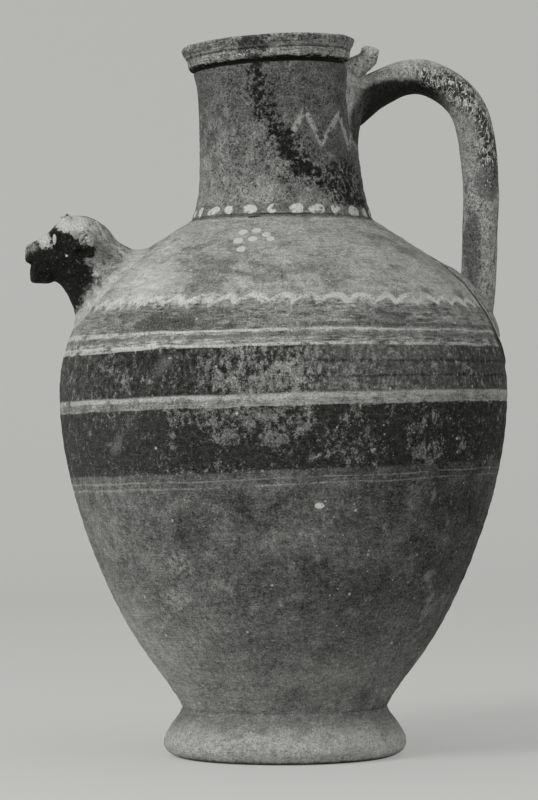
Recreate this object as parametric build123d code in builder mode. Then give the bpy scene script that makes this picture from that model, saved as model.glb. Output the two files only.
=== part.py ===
from build123d import *
import os
from math import atan2, cos, pi, radians, sin

# A wheel-thrown pouring jug with an animal-head spout, made of separately formed clay parts.
# The frame has +Z up, the handle on +X and the spout on -X. The origin is the middle of the foot,
# on the surface that the jug stands on. Sizes are in millimetres and angles in degrees.

# Foot: a flared ring, thrown apart and luted under the body
foot_contact_radius = 54.0
foot_contact_width = 7.5
foot_widest_radius = 60.3
foot_widest_height = 6.0
foot_height = 24.4
foot_joint_radius = 50.8
foot_hollow_radius = 37.0

# Body: an egg-shaped thrown shell
floor_height = 14.0
floor_radius = 41.0
belly_radius = 111.6
belly_height = 181.0
shoulder_rise = 85.5
body_wall = 6.0

# Neck: thrown apart, luted on the shoulder, its top leaning a little towards the spout
neck_joint_radius = 45.3
neck_top_radius = 38.1
neck_length = 75.1
neck_top_lean = 6.0
neck_wall = 5.5

# Rim: a moulded collar over an undercut groove, tilted with the top of the neck
rim_tilt = 3.3
rim_height = 12.8
rim_overhang = 5.1
rim_foot_overhang = 1.5
rim_lip_width = 8.0
undercut_height = 1.9
undercut_depth = 2.2
fascia_groove_depth = 0.8

# Handle: a thick rolled coil from the neck, over an arch, down to the shoulder
handle_thickness = 18.2
handle_width = 21.0
handle_root_drop = 16.6
handle_rise = 14.8
handle_foot_share = 0.365
handle_burial = 16.0
upper_pad_radius = 19.0
upper_pad_height = 4.5
lower_pad_share = 0.42
lower_pad_radius = 21.0
lower_pad_height = 5.5

# Thumb lug: a strap from under the rim, bent up into a rounded peg over the handle's root
lug_thickness = 9.5
lug_width = 15.0
lug_reach = 14.0
lug_rise = 11.8

# Spout: an animal head on the shoulder, open from the lips to the inside of the body
spout_root_share = 0.527
head_length = 39.8
head_depth = 39.5
head_width = 34.0
head_root_tilt = 45.0
mouth_height = 9.0
mouth_radius = 3.8
throat_radius = 6.5
jaw_setback = 3.3
mouth_corner_depth = 4.6
head_collar_radius = 26.5
head_collar_height = 8.0
ear_length = 15.0
ear_width = 12.0
ear_thickness = 7.0
ear_wall = 1.8
horn_radius = 3.4
horn_length = 4.6

# Cuts run past the faces that they open by this much
overrun = 2.0

# Body outline, as shares of the way out and up from the foot joint to the belly,
# and of the way in and up from the belly to the neck joint
flank_shares = ((0.315, 0.175), (0.73, 0.494))
shoulder_shares = ((0.186, 0.4825), (0.55, 0.769))
flank_start_slope_shares = (0.56, 1)
shoulder_end_slope_shares = (-1, 0.66)

# Foot outline: directions at the sole, the widest point, the joint with the body and the hollow
sole_slope_shares = (1, 0.3)
flare_slope_shares = (-0.36, 1)
hollow_slopes_shares = ((1, -0.35), (0.5, -1))

# Collar: height and radius of the step between its two bands, and height of the lip's edge
fascia_height_share = 0.44
fascia_radius_share = 0.4
lip_edge_share = 0.84

# Throat: where the wide bore begins inside the body, and how far it runs into the head
throat_start_share = 0.5
throat_end_share = 0.5

# Lips: inner edge of the upper lip, as shares of the mouth corner's depth and the bore's radius
upper_lip_shares = (0.7, 0.8)

# Neck rings: height share, flare share, lean share and tilt share
neck_ring_shares = (
    (0.0, 1.0, 0.0, 0.0),
    (0.06, 0.786, 0.01, 0.0),
    (0.167, 0.5, 0.04, 0.0),
    (0.337, 0.31, 0.1, 0.05),
    (0.567, 0.19, 0.2, 0.1),
    (0.8, 0.1, 0.43, 0.35),
    (0.913, 0.036, 0.7, 0.7),
    (1.0, 0.0, 1.0, 1.0),
)

# Handle arch: share of the way from neck to foot, and share of the rise above the upper root
handle_arch_shares = ((0.25, 0.63), (0.55, 1.0), (0.735, 0.72))
# Handle leg: the same share across, and share of the drop from the upper root to the shoulder
handle_leg_shares = (
    (0.9, -0.015),
    (0.985, 0.12),
    (1.023, 0.31),
    (1.032, 0.441),
    (1.02, 0.605),
    (1.005, 0.816),
)
handle_end_share = -0.25
# Handle sections: share of the route, thickness share and width share
handle_section_shares = (
    (0.0, 1.5, 1.2),
    (0.06, 1.16, 1.08),
    (0.13, 0.98, 1.0),
    (0.22, 0.98, 1.0),
    (0.36, 1.0, 1.0),
    (0.5, 1.0, 1.0),
    (0.65, 1.0, 1.0),
    (0.8, 0.97, 1.0),
    (0.92, 1.0, 1.05),
    (1.0, 1.08, 1.15),
)

# Lug sections: share of the reach, share of the rise, lean from upright as a share of a
# right angle, thickness share and width share
lug_section_shares = (
    (-0.12, 0.0, 1.0, 1.05, 1.15),
    (0.3, 0.12, 0.95, 1.08, 1.1),
    (0.72, 0.3, 0.55, 1.12, 1.0),
    (0.94, 0.62, 0.14, 1.0, 0.95),
    (1.0, 1.0, 0.08, 0.94, 0.85),
)
lug_rounding_share = 0.28

# Head sections: share of the length forward, share of it upward, tilt share, depth share, width share
head_section_shares = (
    (-0.122, -0.061, 1.0, 1.13, 1.16),
    (0.11, 0.124, 0.86, 1.007, 1.0),
    (0.251, 0.322, 0.715, 0.997, 0.97),
    (0.449, 0.432, 0.53, 0.93, 0.94),
    (0.622, 0.427, 0.39, 0.835, 0.855),
    (0.739, 0.354, 0.31, 0.676, 0.735),
    (0.839, 0.295, 0.23, 0.53, 0.62),
    (1.0, 0.283, 0.0, 0.39, 0.5),
)
lip_rounding_share = 0.26
# Only the root of the head turns with the shoulder under it: how fast that fades along the head
root_turn_fading = 4

# Pads: where the flare starts, its middle and its edge lie, as shares of the pad's radius out and
# of its height up. The flare starts inside the piece that stands on the pad.
pad_flare_shares = ((0.62, 1.0), (0.76, 0.2), (1.0, -0.6))
collar_flare_shares = ((0.5, 1.45), (0.62, 0.9), (0.76, 0.2), (1.0, -0.6))

# Ears: place of the root as shares of the head's length forward and upward and of its width
# sideways, the ear's direction, and its sections as share of the length and of the width
ear_place_shares = (0.27, 0.53, 0.42)
ear_direction_shares = (0.12, 0.9, -0.25)
ear_broad_side_shares = (-0.35, 0.0, 1.0)
ear_section_shares = ((-0.3, 0.62), (0.1, 0.86), (0.5, 1.0), (0.82, 0.74), (1.0, 0.36))

# Horn stubs: place of the root as for the ears, direction, and sections
horn_place_shares = (0.46, 0.755, 0.2)
horn_direction_shares = (-0.25, 0.3, 1.0)
horn_section_shares = ((-0.6, 1.12), (0.3, 1.0), (0.75, 0.72), (1.0, 0.42))

# Heights of the neck's two ends over the foot
neck_joint_height = belly_height + shoulder_rise
neck_top_height = neck_joint_height + neck_length

os.makedirs("parts", exist_ok=True)


def finish(part, label):
    """Name a finished piece and write it out."""
    part.label = label
    export_step(part, f"parts/{label}.step")


def shoulder_points(inset):
    """Points of the shoulder outline from the belly up to the neck joint, drawn in by an inset."""
    wide, top = belly_radius - inset, neck_joint_radius - inset / 2
    top_height = neck_joint_height - inset
    between = [(wide - (wide - top) * across, belly_height + (top_height - belly_height) * up)
               for across, up in shoulder_shares]
    return [(wide, belly_height), *between, (top, top_height)]


def body_section(inset):
    """Half section of the body, drawn in by an inset."""
    low, low_height = foot_joint_radius - inset, foot_height + inset
    rise = belly_height - low_height
    flank = [(low + (belly_radius - inset - low) * across, low_height + rise * up)
             for across, up in flank_shares]
    shoulder = shoulder_points(inset)
    with BuildSketch(Plane.XZ) as section:
        with BuildLine():
            base = Line((0, floor_height + inset), (floor_radius - inset, floor_height + inset))
            side = Spline((low, low_height), *flank, shoulder[0], tangents=(flank_start_slope_shares, (0, 1)))
            Spline(base @ 1, side @ 0, tangents=((1, 0), flank_start_slope_shares))
            top = Spline(*shoulder, tangents=((0, 1), shoulder_end_slope_shares))
            lid = Line(top @ 1, (0, shoulder[-1][1]))
            Line(lid @ 1, base @ 0)
        make_face()
    return section.sketch


def neck_plane(height_share, lean_share, tilt_share):
    """Plane of one ring of the neck."""
    height = neck_joint_height + (neck_top_height - neck_joint_height) * height_share
    tilt = radians(rim_tilt * tilt_share)
    return Plane((-neck_top_lean * lean_share, 0, height), x_dir=(cos(tilt), 0, sin(tilt)),
                 z_dir=(-sin(tilt), 0, cos(tilt)))


def neck_rings(inset):
    """Circles of the neck, drawn in by an inset."""
    rings = []
    for height_share, flare_share, lean_share, tilt_share in neck_ring_shares:
        radius = neck_top_radius + (neck_joint_radius - neck_top_radius) * flare_share
        with BuildSketch(neck_plane(height_share, lean_share, tilt_share)) as ring:
            Circle(radius - inset)
        rings.append(ring.sketch)
    return rings


def clay_section(plane, width, thickness):
    """Ellipse across a rolled piece of clay."""
    with BuildSketch(plane) as section:
        Ellipse(width / 2, thickness / 2)
    return section.sketch


def pad_section(plane, radius, height, flare_shares):
    """Half section of a flared pad of clay on a plane, sunk by its own height."""
    flare = [(radius * out, height * up) for out, up in flare_shares]
    with BuildSketch(plane) as section:
        with BuildLine():
            slope = Spline(*flare, tangents=((0, -1), (1, -1)))
            Polyline(slope @ 1, (radius, -height), (0, -height), (0, (slope @ 0).Y), slope @ 0)
        make_face()
    return section.sketch


def head_point(forward, up, side):
    """Point by the head, as shares of its length forward and up and of its width sideways."""
    return spout_root + Vector(-head_length * forward, head_width * side, head_length * up)


def taper(plane, length, width, thickness, shares):
    """Sections of a small tapering piece that stands on a plane."""
    return [clay_section(plane.offset(length * along), width * size, thickness * size)
            for along, size in shares]


# Filled forms: each neighbour is cut by these, so that every joint is face to face
with BuildPart() as body_form:
    revolve(body_section(0))

with BuildPart() as neck_form:
    loft(neck_rings(0))

with BuildPart() as neck_bore:
    loft(neck_rings(neck_wall))

rim_plane = neck_plane(1, 1, 1)
rim_radius = neck_top_radius + rim_overhang
rim_foot_radius = neck_top_radius + rim_foot_overhang
rim_profile_plane = Plane(rim_plane.origin, x_dir=rim_plane.x_dir, z_dir=-rim_plane.y_dir)
rim_axis = Axis(rim_plane.origin, rim_plane.z_dir)

# Where the handle and the spout stand on the shoulder
with BuildLine(Plane.XZ) as shoulder_line:
    Spline(*shoulder_points(0), tangents=((0, 1), shoulder_end_slope_shares))
shoulder = shoulder_line.edge()
handle_foot = shoulder @ handle_foot_share
spout_point = shoulder @ spout_root_share
spout_slope = shoulder % spout_root_share
spout_root = Vector(-spout_point.X, 0, spout_point.Z)
spout_normal = Vector(-spout_slope.Z, 0, -spout_slope.X)
root_turn = atan2(spout_normal.Z, -spout_normal.X) - radians(head_root_tilt)

# Foot ring
with BuildPart() as foot_ring:
    contact_inner_radius = foot_contact_radius - foot_contact_width
    with BuildSketch(Plane.XZ):
        with BuildLine():
            sole = Line((contact_inner_radius, 0), (foot_contact_radius, 0))
            lip = Spline(sole @ 1, (foot_widest_radius, foot_widest_height), tangents=(sole_slope_shares, (0, 1)))
            flare = Spline(lip @ 1, (foot_joint_radius, foot_height), tangents=((0, 1), flare_slope_shares))
            top = Line(flare @ 1, (foot_hollow_radius, foot_height))
            wall = Line(top @ 1, (foot_hollow_radius, floor_height))
            Spline(wall @ 1, sole @ 0, tangents=hollow_slopes_shares)
        make_face()
    revolve()
    add(body_form.part, mode=Mode.SUBTRACT)
finish(foot_ring.part, "foot_ring")

# Pouring bore: narrow behind the lips, wider through the head's neck and the wall of the body
bore_height = spout_root.Z + mouth_height
lips = spout_root.X - head_length
bore_plane = Plane((0, 0, bore_height), x_dir=(0, 1, 0), z_dir=(-1, 0, 0))
throat_start = belly_radius * throat_start_share
throat_end = -spout_root.X + head_length * throat_end_share
with BuildPart() as spout_bore:
    with BuildSketch(bore_plane.offset(throat_start)):
        Circle(throat_radius)
    extrude(amount=throat_end - throat_start)
    with BuildSketch(bore_plane.offset(throat_start)):
        Circle(mouth_radius)
    extrude(amount=-lips + overrun - throat_start)

# Body
with BuildPart() as body:
    add(body_form.part)
    revolve(body_section(body_wall), mode=Mode.SUBTRACT)
    with BuildSketch(Plane.XY.offset(belly_height)):
        Circle(neck_joint_radius - neck_wall)
    extrude(amount=neck_joint_height + overrun - belly_height, mode=Mode.SUBTRACT)
    add(spout_bore.part, mode=Mode.SUBTRACT)
finish(body.part, "body")

# Neck
with BuildPart() as neck:
    add(neck_form.part)
    add(neck_bore.part, mode=Mode.SUBTRACT)
finish(neck.part, "neck")

# Rim collar, with its undercut, a grooved fascia and a rounded lip
with BuildPart() as rim_collar:
    bore_radius = neck_top_radius - neck_wall
    groove_radius = rim_foot_radius - undercut_depth
    fascia_height = undercut_height + (rim_height - undercut_height) * fascia_height_share
    fascia_radius = rim_foot_radius + (rim_radius - rim_foot_radius) * fascia_radius_share
    lip_edge = rim_height * lip_edge_share
    with BuildSketch(rim_profile_plane):
        with BuildLine():
            seat = Line((bore_radius, 0), (groove_radius, 0))
            undercut = Line(seat @ 1, (groove_radius, undercut_height))
            shelf = Line(undercut @ 1, (rim_foot_radius, undercut_height))
            low_fascia = Line(shelf @ 1, (fascia_radius, fascia_height))
            step = Line(low_fascia @ 1, (fascia_radius - fascia_groove_depth, fascia_height))
            high_fascia = Line(step @ 1, (rim_radius, lip_edge))
            lip = Spline(high_fascia @ 1, (rim_radius - rim_lip_width / 2, rim_height),
                         (rim_radius - rim_lip_width, lip_edge), tangents=((0, 1), (0, -1)))
            Line(lip @ 1, seat @ 0)
        make_face()
    revolve(axis=rim_axis)
finish(rim_collar.part, "rim_collar")

# The collar as the thumb lug meets it, with no bore
with BuildPart() as rim_form:
    with BuildSketch(rim_plane):
        Circle(rim_foot_radius)
    with BuildSketch(rim_plane.offset(rim_height)):
        Circle(rim_radius)
    loft()

# Handle
handle_root_height = neck_top_height - handle_root_drop
handle_start = Vector(neck_top_radius - neck_wall / 2, 0, handle_root_height)
handle_span = handle_foot.X - handle_start.X
handle_drop = handle_root_height - handle_foot.Z
arch = [(handle_start.X + handle_span * across, handle_root_height + handle_rise * up)
        for across, up in handle_arch_shares]
leg = [(handle_start.X + handle_span * across, handle_root_height - handle_drop * down)
       for across, down in handle_leg_shares]
handle_end = (handle_foot.X + handle_burial * handle_end_share, handle_foot.Z - handle_burial)
with BuildLine(Plane.XZ) as handle_route:
    Spline((handle_start.X, handle_root_height), *arch, *leg, handle_end)
route = handle_route.edge()
with BuildPart() as handle:
    loft([
        clay_section(Plane(route @ along, x_dir=(0, 1, 0), z_dir=route % along),
                     handle_width * wide, handle_thickness * thick)
        for along, thick, wide in handle_section_shares
    ])
    add(neck_form.part, mode=Mode.SUBTRACT)
    add(body_form.part, mode=Mode.SUBTRACT)
finish(handle.part, "handle")

# Clay pads smoothed round the roots of the handle
with BuildPart() as handle_upper_pad:
    neck_face = Vector(neck_top_radius, 0, handle_root_height)
    pad_plane = Plane(neck_face, x_dir=(0, 0, 1), z_dir=(0, 1, 0))
    revolve(pad_section(pad_plane, upper_pad_radius, upper_pad_height, pad_flare_shares),
            Axis(neck_face, (1, 0, 0)))
    for neighbour in (neck_form, rim_form, handle):
        add(neighbour.part, mode=Mode.SUBTRACT)
finish(handle_upper_pad.part, "handle_upper_pad")

with BuildPart() as handle_lower_pad:
    pad_foot = shoulder @ lower_pad_share
    pad_slope = shoulder % lower_pad_share
    pad_plane = Plane(pad_foot, x_dir=pad_slope, z_dir=(0, 1, 0))
    revolve(pad_section(pad_plane, lower_pad_radius, lower_pad_height, pad_flare_shares),
            Axis(pad_foot, (pad_slope.Z, 0, -pad_slope.X)))
    add(body_form.part, mode=Mode.SUBTRACT)
    add(handle.part, mode=Mode.SUBTRACT)
finish(handle_lower_pad.part, "handle_lower_pad")

# Thumb lug
with BuildPart() as thumb_lug:
    lug_start = Vector(neck_top_radius - neck_top_lean, 0, neck_top_height)
    sections = []
    for out, up, lean, thick, wide in lug_section_shares:
        lean_angle = lean * pi / 2
        centre = lug_start + Vector(lug_reach * out, 0, lug_rise * up)
        plane = Plane(centre, x_dir=(0, 1, 0), z_dir=(sin(lean_angle), 0, cos(lean_angle)))
        sections.append(clay_section(plane, lug_width * wide, lug_thickness * thick))
    loft(sections)
    top_edge = edges().group_by(Axis.Z)[-1]
    fillet(top_edge, lug_thickness * lug_rounding_share)
    for neighbour in (neck_form, rim_form, handle, handle_upper_pad):
        add(neighbour.part, mode=Mode.SUBTRACT)
finish(thumb_lug.part, "thumb_lug")

# Spout head
head_sections = []
for forward, up, tilt, deep, wide in head_section_shares:
    angle = radians(head_root_tilt * tilt) + root_turn * tilt ** root_turn_fading
    centre = spout_root + Vector(-head_length * forward, 0, head_length * up)
    plane = Plane(centre, x_dir=(0, 1, 0), z_dir=(-cos(angle), 0, sin(angle)))
    head_sections.append(clay_section(plane, head_width * wide, head_depth * deep))
with BuildPart() as head_form:
    loft(head_sections)
    lip_width = head_width * head_section_shares[-1][-1]
    fillet(edges().group_by(Axis.X)[0], lip_width * lip_rounding_share)
with BuildPart() as spout_head:
    add(head_form.part)
    with BuildSketch(Plane.XZ):
        with BuildLine():
            lip_in_share, lip_up_share = upper_lip_shares
            Polyline(
                (lips - overrun, bore_height + mouth_radius),
                (lips + mouth_corner_depth * lip_in_share, bore_height + mouth_radius * lip_up_share),
                (lips + mouth_corner_depth, bore_height),
                (lips + jaw_setback, bore_height - mouth_radius),
                (lips + jaw_setback, bore_height - head_depth / 2),
                (lips - overrun, bore_height - head_depth / 2),
                close=True,
            )
        make_face()
    extrude(amount=head_width, both=True, mode=Mode.SUBTRACT)
    add(body_form.part, mode=Mode.SUBTRACT)
    add(spout_bore.part, mode=Mode.SUBTRACT)
finish(spout_head.part, "spout_head")

with BuildPart() as spout_collar:
    collar_plane = Plane(spout_root, x_dir=(-spout_slope.X, 0, spout_slope.Z), z_dir=(0, -1, 0))
    revolve(pad_section(collar_plane, head_collar_radius, head_collar_height, collar_flare_shares),
            Axis(spout_root, spout_normal))
    for neighbour in (body_form, head_form, spout_bore):
        add(neighbour.part, mode=Mode.SUBTRACT)
finish(spout_collar.part, "spout_collar")

# Ears, each with a hollow on its lower side, and horn stubs, luted on the head
for side, name in ((-1, "left"), (1, "right")):
    ear_root = head_point(ear_place_shares[0], ear_place_shares[1], ear_place_shares[2] * side)
    out_x, out_y, out_z = ear_direction_shares
    ear_plane = Plane(ear_root, x_dir=ear_broad_side_shares, z_dir=(out_x, out_y * side, out_z))
    with BuildPart() as ear:
        loft(taper(ear_plane, ear_length, ear_width, ear_thickness, ear_section_shares))
        hollow_plane = Plane(ear_plane.origin + ear_plane.y_dir * ear_wall * side, x_dir=ear_plane.x_dir,
                             z_dir=ear_plane.z_dir)
        loft(taper(hollow_plane, ear_length - ear_wall, ear_width - 2 * ear_wall, ear_thickness,
                   ear_section_shares), mode=Mode.SUBTRACT)
        add(head_form.part, mode=Mode.SUBTRACT)
    finish(ear.part, name + "_ear")

    horn_root = head_point(horn_place_shares[0], horn_place_shares[1], horn_place_shares[2] * side)
    up_x, up_y, up_z = horn_direction_shares
    horn_plane = Plane(horn_root, x_dir=(1, 0, 0), z_dir=(up_x, up_y * side, up_z))
    with BuildPart() as horn:
        loft(taper(horn_plane, horn_length, 2 * horn_radius, 2 * horn_radius, horn_section_shares))
        add(head_form.part, mode=Mode.SUBTRACT)
    finish(horn.part, name + "_horn")
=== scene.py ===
import bpy
import math
import numpy as np
from mathutils import Matrix, Vector


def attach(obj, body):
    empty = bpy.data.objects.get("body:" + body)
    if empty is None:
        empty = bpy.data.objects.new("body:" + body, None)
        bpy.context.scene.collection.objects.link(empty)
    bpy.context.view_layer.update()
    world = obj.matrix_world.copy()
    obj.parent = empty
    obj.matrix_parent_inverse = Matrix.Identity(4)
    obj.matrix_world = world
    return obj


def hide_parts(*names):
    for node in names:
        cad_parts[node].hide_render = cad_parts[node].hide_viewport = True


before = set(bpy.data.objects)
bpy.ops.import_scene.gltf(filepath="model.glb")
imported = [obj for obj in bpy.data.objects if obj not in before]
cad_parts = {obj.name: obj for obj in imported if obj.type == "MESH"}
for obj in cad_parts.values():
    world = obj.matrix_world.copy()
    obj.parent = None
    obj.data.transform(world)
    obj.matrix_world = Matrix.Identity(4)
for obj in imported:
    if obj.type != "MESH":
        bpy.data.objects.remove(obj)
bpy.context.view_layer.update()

# Sizes are in millimetres until a mesh is made, and the frame is the solids' own:
# +Z up, the handle on +X, the spout on -X, the sole of the foot at zero.
METRE = 1000.0

# Outline of the turned pieces: radii, and heights over the sole
FOOT_CONTACT, FOOT_CONTACT_INNER, FOOT_HOLLOW = 54.0, 46.5, 37.0
FOOT_WIDEST, FOOT_WIDEST_Z, FOOT_Z, FOOT_JOINT = 60.3, 6.0, 24.4, 50.8
FLOOR_Z, FLOOR_R, BELLY_R, BELLY_Z, WALL = 14.0, 41.0, 111.6, 181.0, 6.0
NECK_R, NECK_Z, NECK_TOP_R, NECK_TOP_Z, NECK_LEAN, NECK_WALL = 45.3, 266.5, 38.1, 341.6, 6.0, 5.5
RIM_TILT = math.radians(3.3)
SEGMENTS = 512
# Points of the outline, as shares of the way in or out and of the way up
FLANK = ((0.315, 0.175), (0.73, 0.494))
SHOULDER = ((0.186, 0.4825), (0.55, 0.769))
# Rings of the neck: shares of its height, flare, lean and tilt
NECK_RINGS = ((0.0, 1.0, 0.0, 0.0), (0.06, 0.786, 0.01, 0.0), (0.167, 0.5, 0.04, 0.0),
              (0.337, 0.30, 0.16, 0.05), (0.567, 0.17, 0.31, 0.1), (0.8, 0.08, 0.5, 0.35),
              (0.913, 0.036, 0.7, 0.7), (1.0, 0.0, 1.0, 1.0))
# Rim: undercut, two bands parted by a groove, and a worn lip, as radius and height
RIM_PROFILE = ((37.4, 0.0), (37.4, 1.9), (39.4, 1.9), (40.4, 3.2), (41.0, 6.7), (40.2, 7.0), (41.3, 7.5),
               (43.7, 12.3), (42.5, 13.2), (38.8, 13.3), (36.0, 12.3), (33.4, 6.0), (32.6, 0.0))
# Handle: how far its root lies under the neck's top, its rise over the root and its half sizes
HANDLE_DROP, HANDLE_RISE, HANDLE_HALF_THICK, HANDLE_HALF_WIDE = 16.6, 14.8, 9.1, 10.5
# Points along the arch and leg: shares of the span, and of the rise or the drop
HANDLE_ARCH = ((0.25, 0.63), (0.55, 1.0), (0.735, 0.72))
HANDLE_LEG = ((0.9, -0.015), (0.985, 0.12), (1.023, 0.31), (1.032, 0.441), (1.02, 0.605), (1.005, 0.816))
# Shares of its length, thickness and width
HANDLE_SECTIONS = ((0.0, 1.25, 1.2), (0.06, 1.04, 1.08), (0.13, 0.96, 1.0), (0.22, 0.98, 1.0),
                   (0.36, 1.0, 1.0),
                   (0.5, 1.0, 1.0), (0.65, 1.0, 1.0), (0.8, 0.97, 1.0), (0.92, 1.0, 1.05), (1.0, 1.08, 1.15))
# Clay spread under the handle's foot: half size, how much it narrows upwards, and thickness
SPREAD_HALF, SPREAD_TAPER, SPREAD_THICK = 36, 0.35, 0.9
# Lug: reach, rise and half sizes, then shares of reach, rise, turn, thickness and width along it
LUG_REACH, LUG_RISE, LUG_SLICE, LUG_HALF_WIDE, LUG_HALF_THICK = 14.0, 11.8, 2.0, 7.5, 4.75
LUG_SECTIONS = ((-0.12, -0.02, 0.85, 1.05, 1.15), (0.25, 0.1, 0.8, 1.1, 1.1), (0.6, 0.33, 0.55, 1.12, 1.0),
                (0.85, 0.62, 0.26, 1.0, 0.95), (0.95, 0.9, 0.16, 0.94, 0.88))
# Head: its sizes, and shares of the way forward and up, of 45 degrees of tilt, of depth and width
HEAD_L, HEAD_D, HEAD_W = 39.8, 39.5, 34.0
HEAD_SECTIONS = ((-0.122, -0.061, 1.0, 1.13, 1.16), (0.11, 0.124, 0.86, 1.007, 1.0),
                 (0.251, 0.322, 0.715, 0.997, 0.97), (0.449, 0.432, 0.53, 0.93, 0.94),
                 (0.622, 0.427, 0.39, 0.835, 0.855), (0.739, 0.354, 0.31, 0.676, 0.735),
                 (0.839, 0.295, 0.23, 0.53, 0.62), (1.0, 0.283, 0.0, 0.39, 0.5))
BORE_RISE, BORE_R, THROAT_R = 9.0, 3.8, 6.5
# Fan of clay behind the head: half length, half width and thickness
FAN_HALF_LONG, FAN_HALF_WIDE, FAN_THICK = 24.0, 22.5, 1.5
# Unevenness of hand-made clay, as layers of height, grain size and seed
WALL_LUMPS = ((0.30, 75, 1), (0.16, 26, 2), (0.10, 8, 4), (0.06, 3.6, 5))
HANDLE_LUMPS = ((0.28, 19, 21), (0.14, 7, 22), (0.07, 3, 23))
LUG_LUMPS = ((0.25, 9, 31), (0.16, 3.2, 32), (0.08, 1.4, 33))
HEAD_LUMPS = ((0.20, 11, 41), (0.13, 4.2, 42), (0.07, 1.8, 43))
SKIN_DEPTH = 3  # unevenness is worked out this near to a lump's surface


# Curves and noise
def curve(points, start=None, end=None, count=50):
    """A smooth curve through points of any dimension, with chosen or free directions at its ends."""
    p = np.array(points, float)
    t = np.concatenate([[0], np.cumsum(np.linalg.norm(np.diff(p, axis=0), axis=1))])
    n, h = len(p), np.diff(t)
    a, b = np.zeros((n, n)), np.zeros_like(p)
    for i in range(1, n - 1):
        a[i, i - 1:i + 2] = h[i], 2 * (h[i - 1] + h[i]), h[i - 1]
        b[i] = 3 * (h[i] * (p[i] - p[i - 1]) / h[i - 1] + h[i - 1] * (p[i + 1] - p[i]) / h[i])
    for row, direction, near, k in ((0, start, 1, 0), (n - 1, end, n - 2, n - 2)):
        a[row, row] = 1
        if direction is None:
            a[row, row], a[row, near] = 2, 1
            b[row] = 3 * (p[k + 1] - p[k]) / h[k]
        else:
            b[row] = np.array(direction, float) / np.linalg.norm(direction)
    m = np.linalg.solve(a, b)
    s = np.linspace(0, t[-1], count)
    i = np.clip(np.searchsorted(t, s, side="right") - 1, 0, n - 2)
    u = ((s - t[i]) / h[i])[:, None]
    g = h[i][:, None]
    return ((2 * u**3 - 3 * u**2 + 1) * p[i] + (u**3 - 2 * u**2 + u) * g * m[i]
            + (3 * u**2 - 2 * u**3) * p[i + 1] + (u**3 - u**2) * g * m[i + 1])


PRIME_X, PRIME_Y, PRIME_Z, PRIME_SEED = 374761393, 668265263, 2246822519, 3266489917


def noise(p, size, seed):
    """Smooth repeatable noise from -1 to 1 at points p, with grains of a given size."""
    q = p / size
    base = np.floor(q)
    t = q - base
    t = t * t * (3 - 2 * t)
    base = base.astype(np.int64)
    total = np.zeros(p.shape[:-1])
    for corner in range(8):
        step = np.array([corner & 1, corner >> 1 & 1, corner >> 2])
        c = (base + step).astype(np.uint32)
        h = c[..., 0] * np.uint32(PRIME_X) + c[..., 1] * np.uint32(PRIME_Y) + c[..., 2] * np.uint32(PRIME_Z)
        h = h + np.uint32(seed * PRIME_SEED % 2**32)
        h = (h ^ (h >> np.uint32(15))) * np.uint32(PRIME_Z)
        h = (h ^ (h >> np.uint32(13))) * np.uint32(PRIME_SEED)
        h = h ^ (h >> np.uint32(16))
        weight = np.prod(np.where(step, t, 1 - t), axis=-1)
        total += weight * (h / 2.0**31 - 1)
    return total


def lumps(p, layers):
    """Unevenness at points p, from layers of height, grain size and seed."""
    return sum(height * noise(p, size, seed) for height, size, seed in layers)


def smooth(a, b, x):
    """0 where x is at a, 1 where it is at b, smooth between them."""
    t = np.clip((x - a) / (b - a), 0, 1)
    return t * t * (3 - 2 * t)


def smooth_min(a, b, k):
    """The lesser of two distances, with a fillet of radius k between them."""
    h = np.maximum(k - abs(a - b), 0) / k
    return np.minimum(a, b) - h * h * k / 4


def resample(points, spacing):
    """Points evenly spread along a broken line."""
    p = np.array(points, float)
    t = np.concatenate([[0], np.cumsum(np.linalg.norm(np.diff(p, axis=0), axis=1))])
    s = np.linspace(0, t[-1], max(2, int(round(t[-1] / spacing)) + 1))
    return np.stack([np.interp(s, t, p[:, k]) for k in range(p.shape[1])], axis=1)


def soften(points, radius):
    """A broken line with its corners rounded by short cuts of a given length."""
    p = np.array(points, float)
    out = [p[0]]
    for a, b, c in zip(p[:-2], p[1:-1], p[2:]):
        back, on = a - b, c - b
        lb, lo = np.linalg.norm(back), np.linalg.norm(on)
        cut = min(radius, 0.45 * lb, 0.45 * lo)
        first, last = b + back / lb * cut, b + on / lo * cut
        for s in (0, 0.25, 0.5, 0.75, 1):
            out.append((1 - s)**2 * first + 2 * s * (1 - s) * b + s * s * last)
    out.append(p[-1])
    return np.array(out)


# Outlines of body and neck, and the places on the shoulder where head and handle stand
TILT_WEIGHT = 20  # lets the tilt count for something in the length of the neck's curve


def neck_rows(inset, spacing):
    """Rows of the neck, drawn in by an inset."""
    knots = [(NECK_TOP_R + (NECK_R - NECK_TOP_R) * flare - inset, NECK_LEAN * lean,
              NECK_Z + (NECK_TOP_Z - NECK_Z) * up, RIM_TILT * tilt * TILT_WEIGHT)
             for up, flare, lean, tilt in NECK_RINGS]
    path = resample(curve(knots, count=200), spacing)
    return np.stack([path[:, 0], 0 * path[:, 0], path[:, 1], path[:, 2], path[:, 3] / TILT_WEIGHT], axis=1)


def shoulder_line(inset, count):
    """Outline of the shoulder from the belly up to the neck, drawn in by an inset."""
    wide, top, top_z = BELLY_R - inset, NECK_R - inset / 2, NECK_Z - inset
    knots = [(wide - (wide - top) * a, BELLY_Z + (top_z - BELLY_Z) * b) for a, b in SHOULDER]
    return curve([(wide, BELLY_Z), *knots, (top, top_z)], (0, 1), (-1, 0.66), count)


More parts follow.
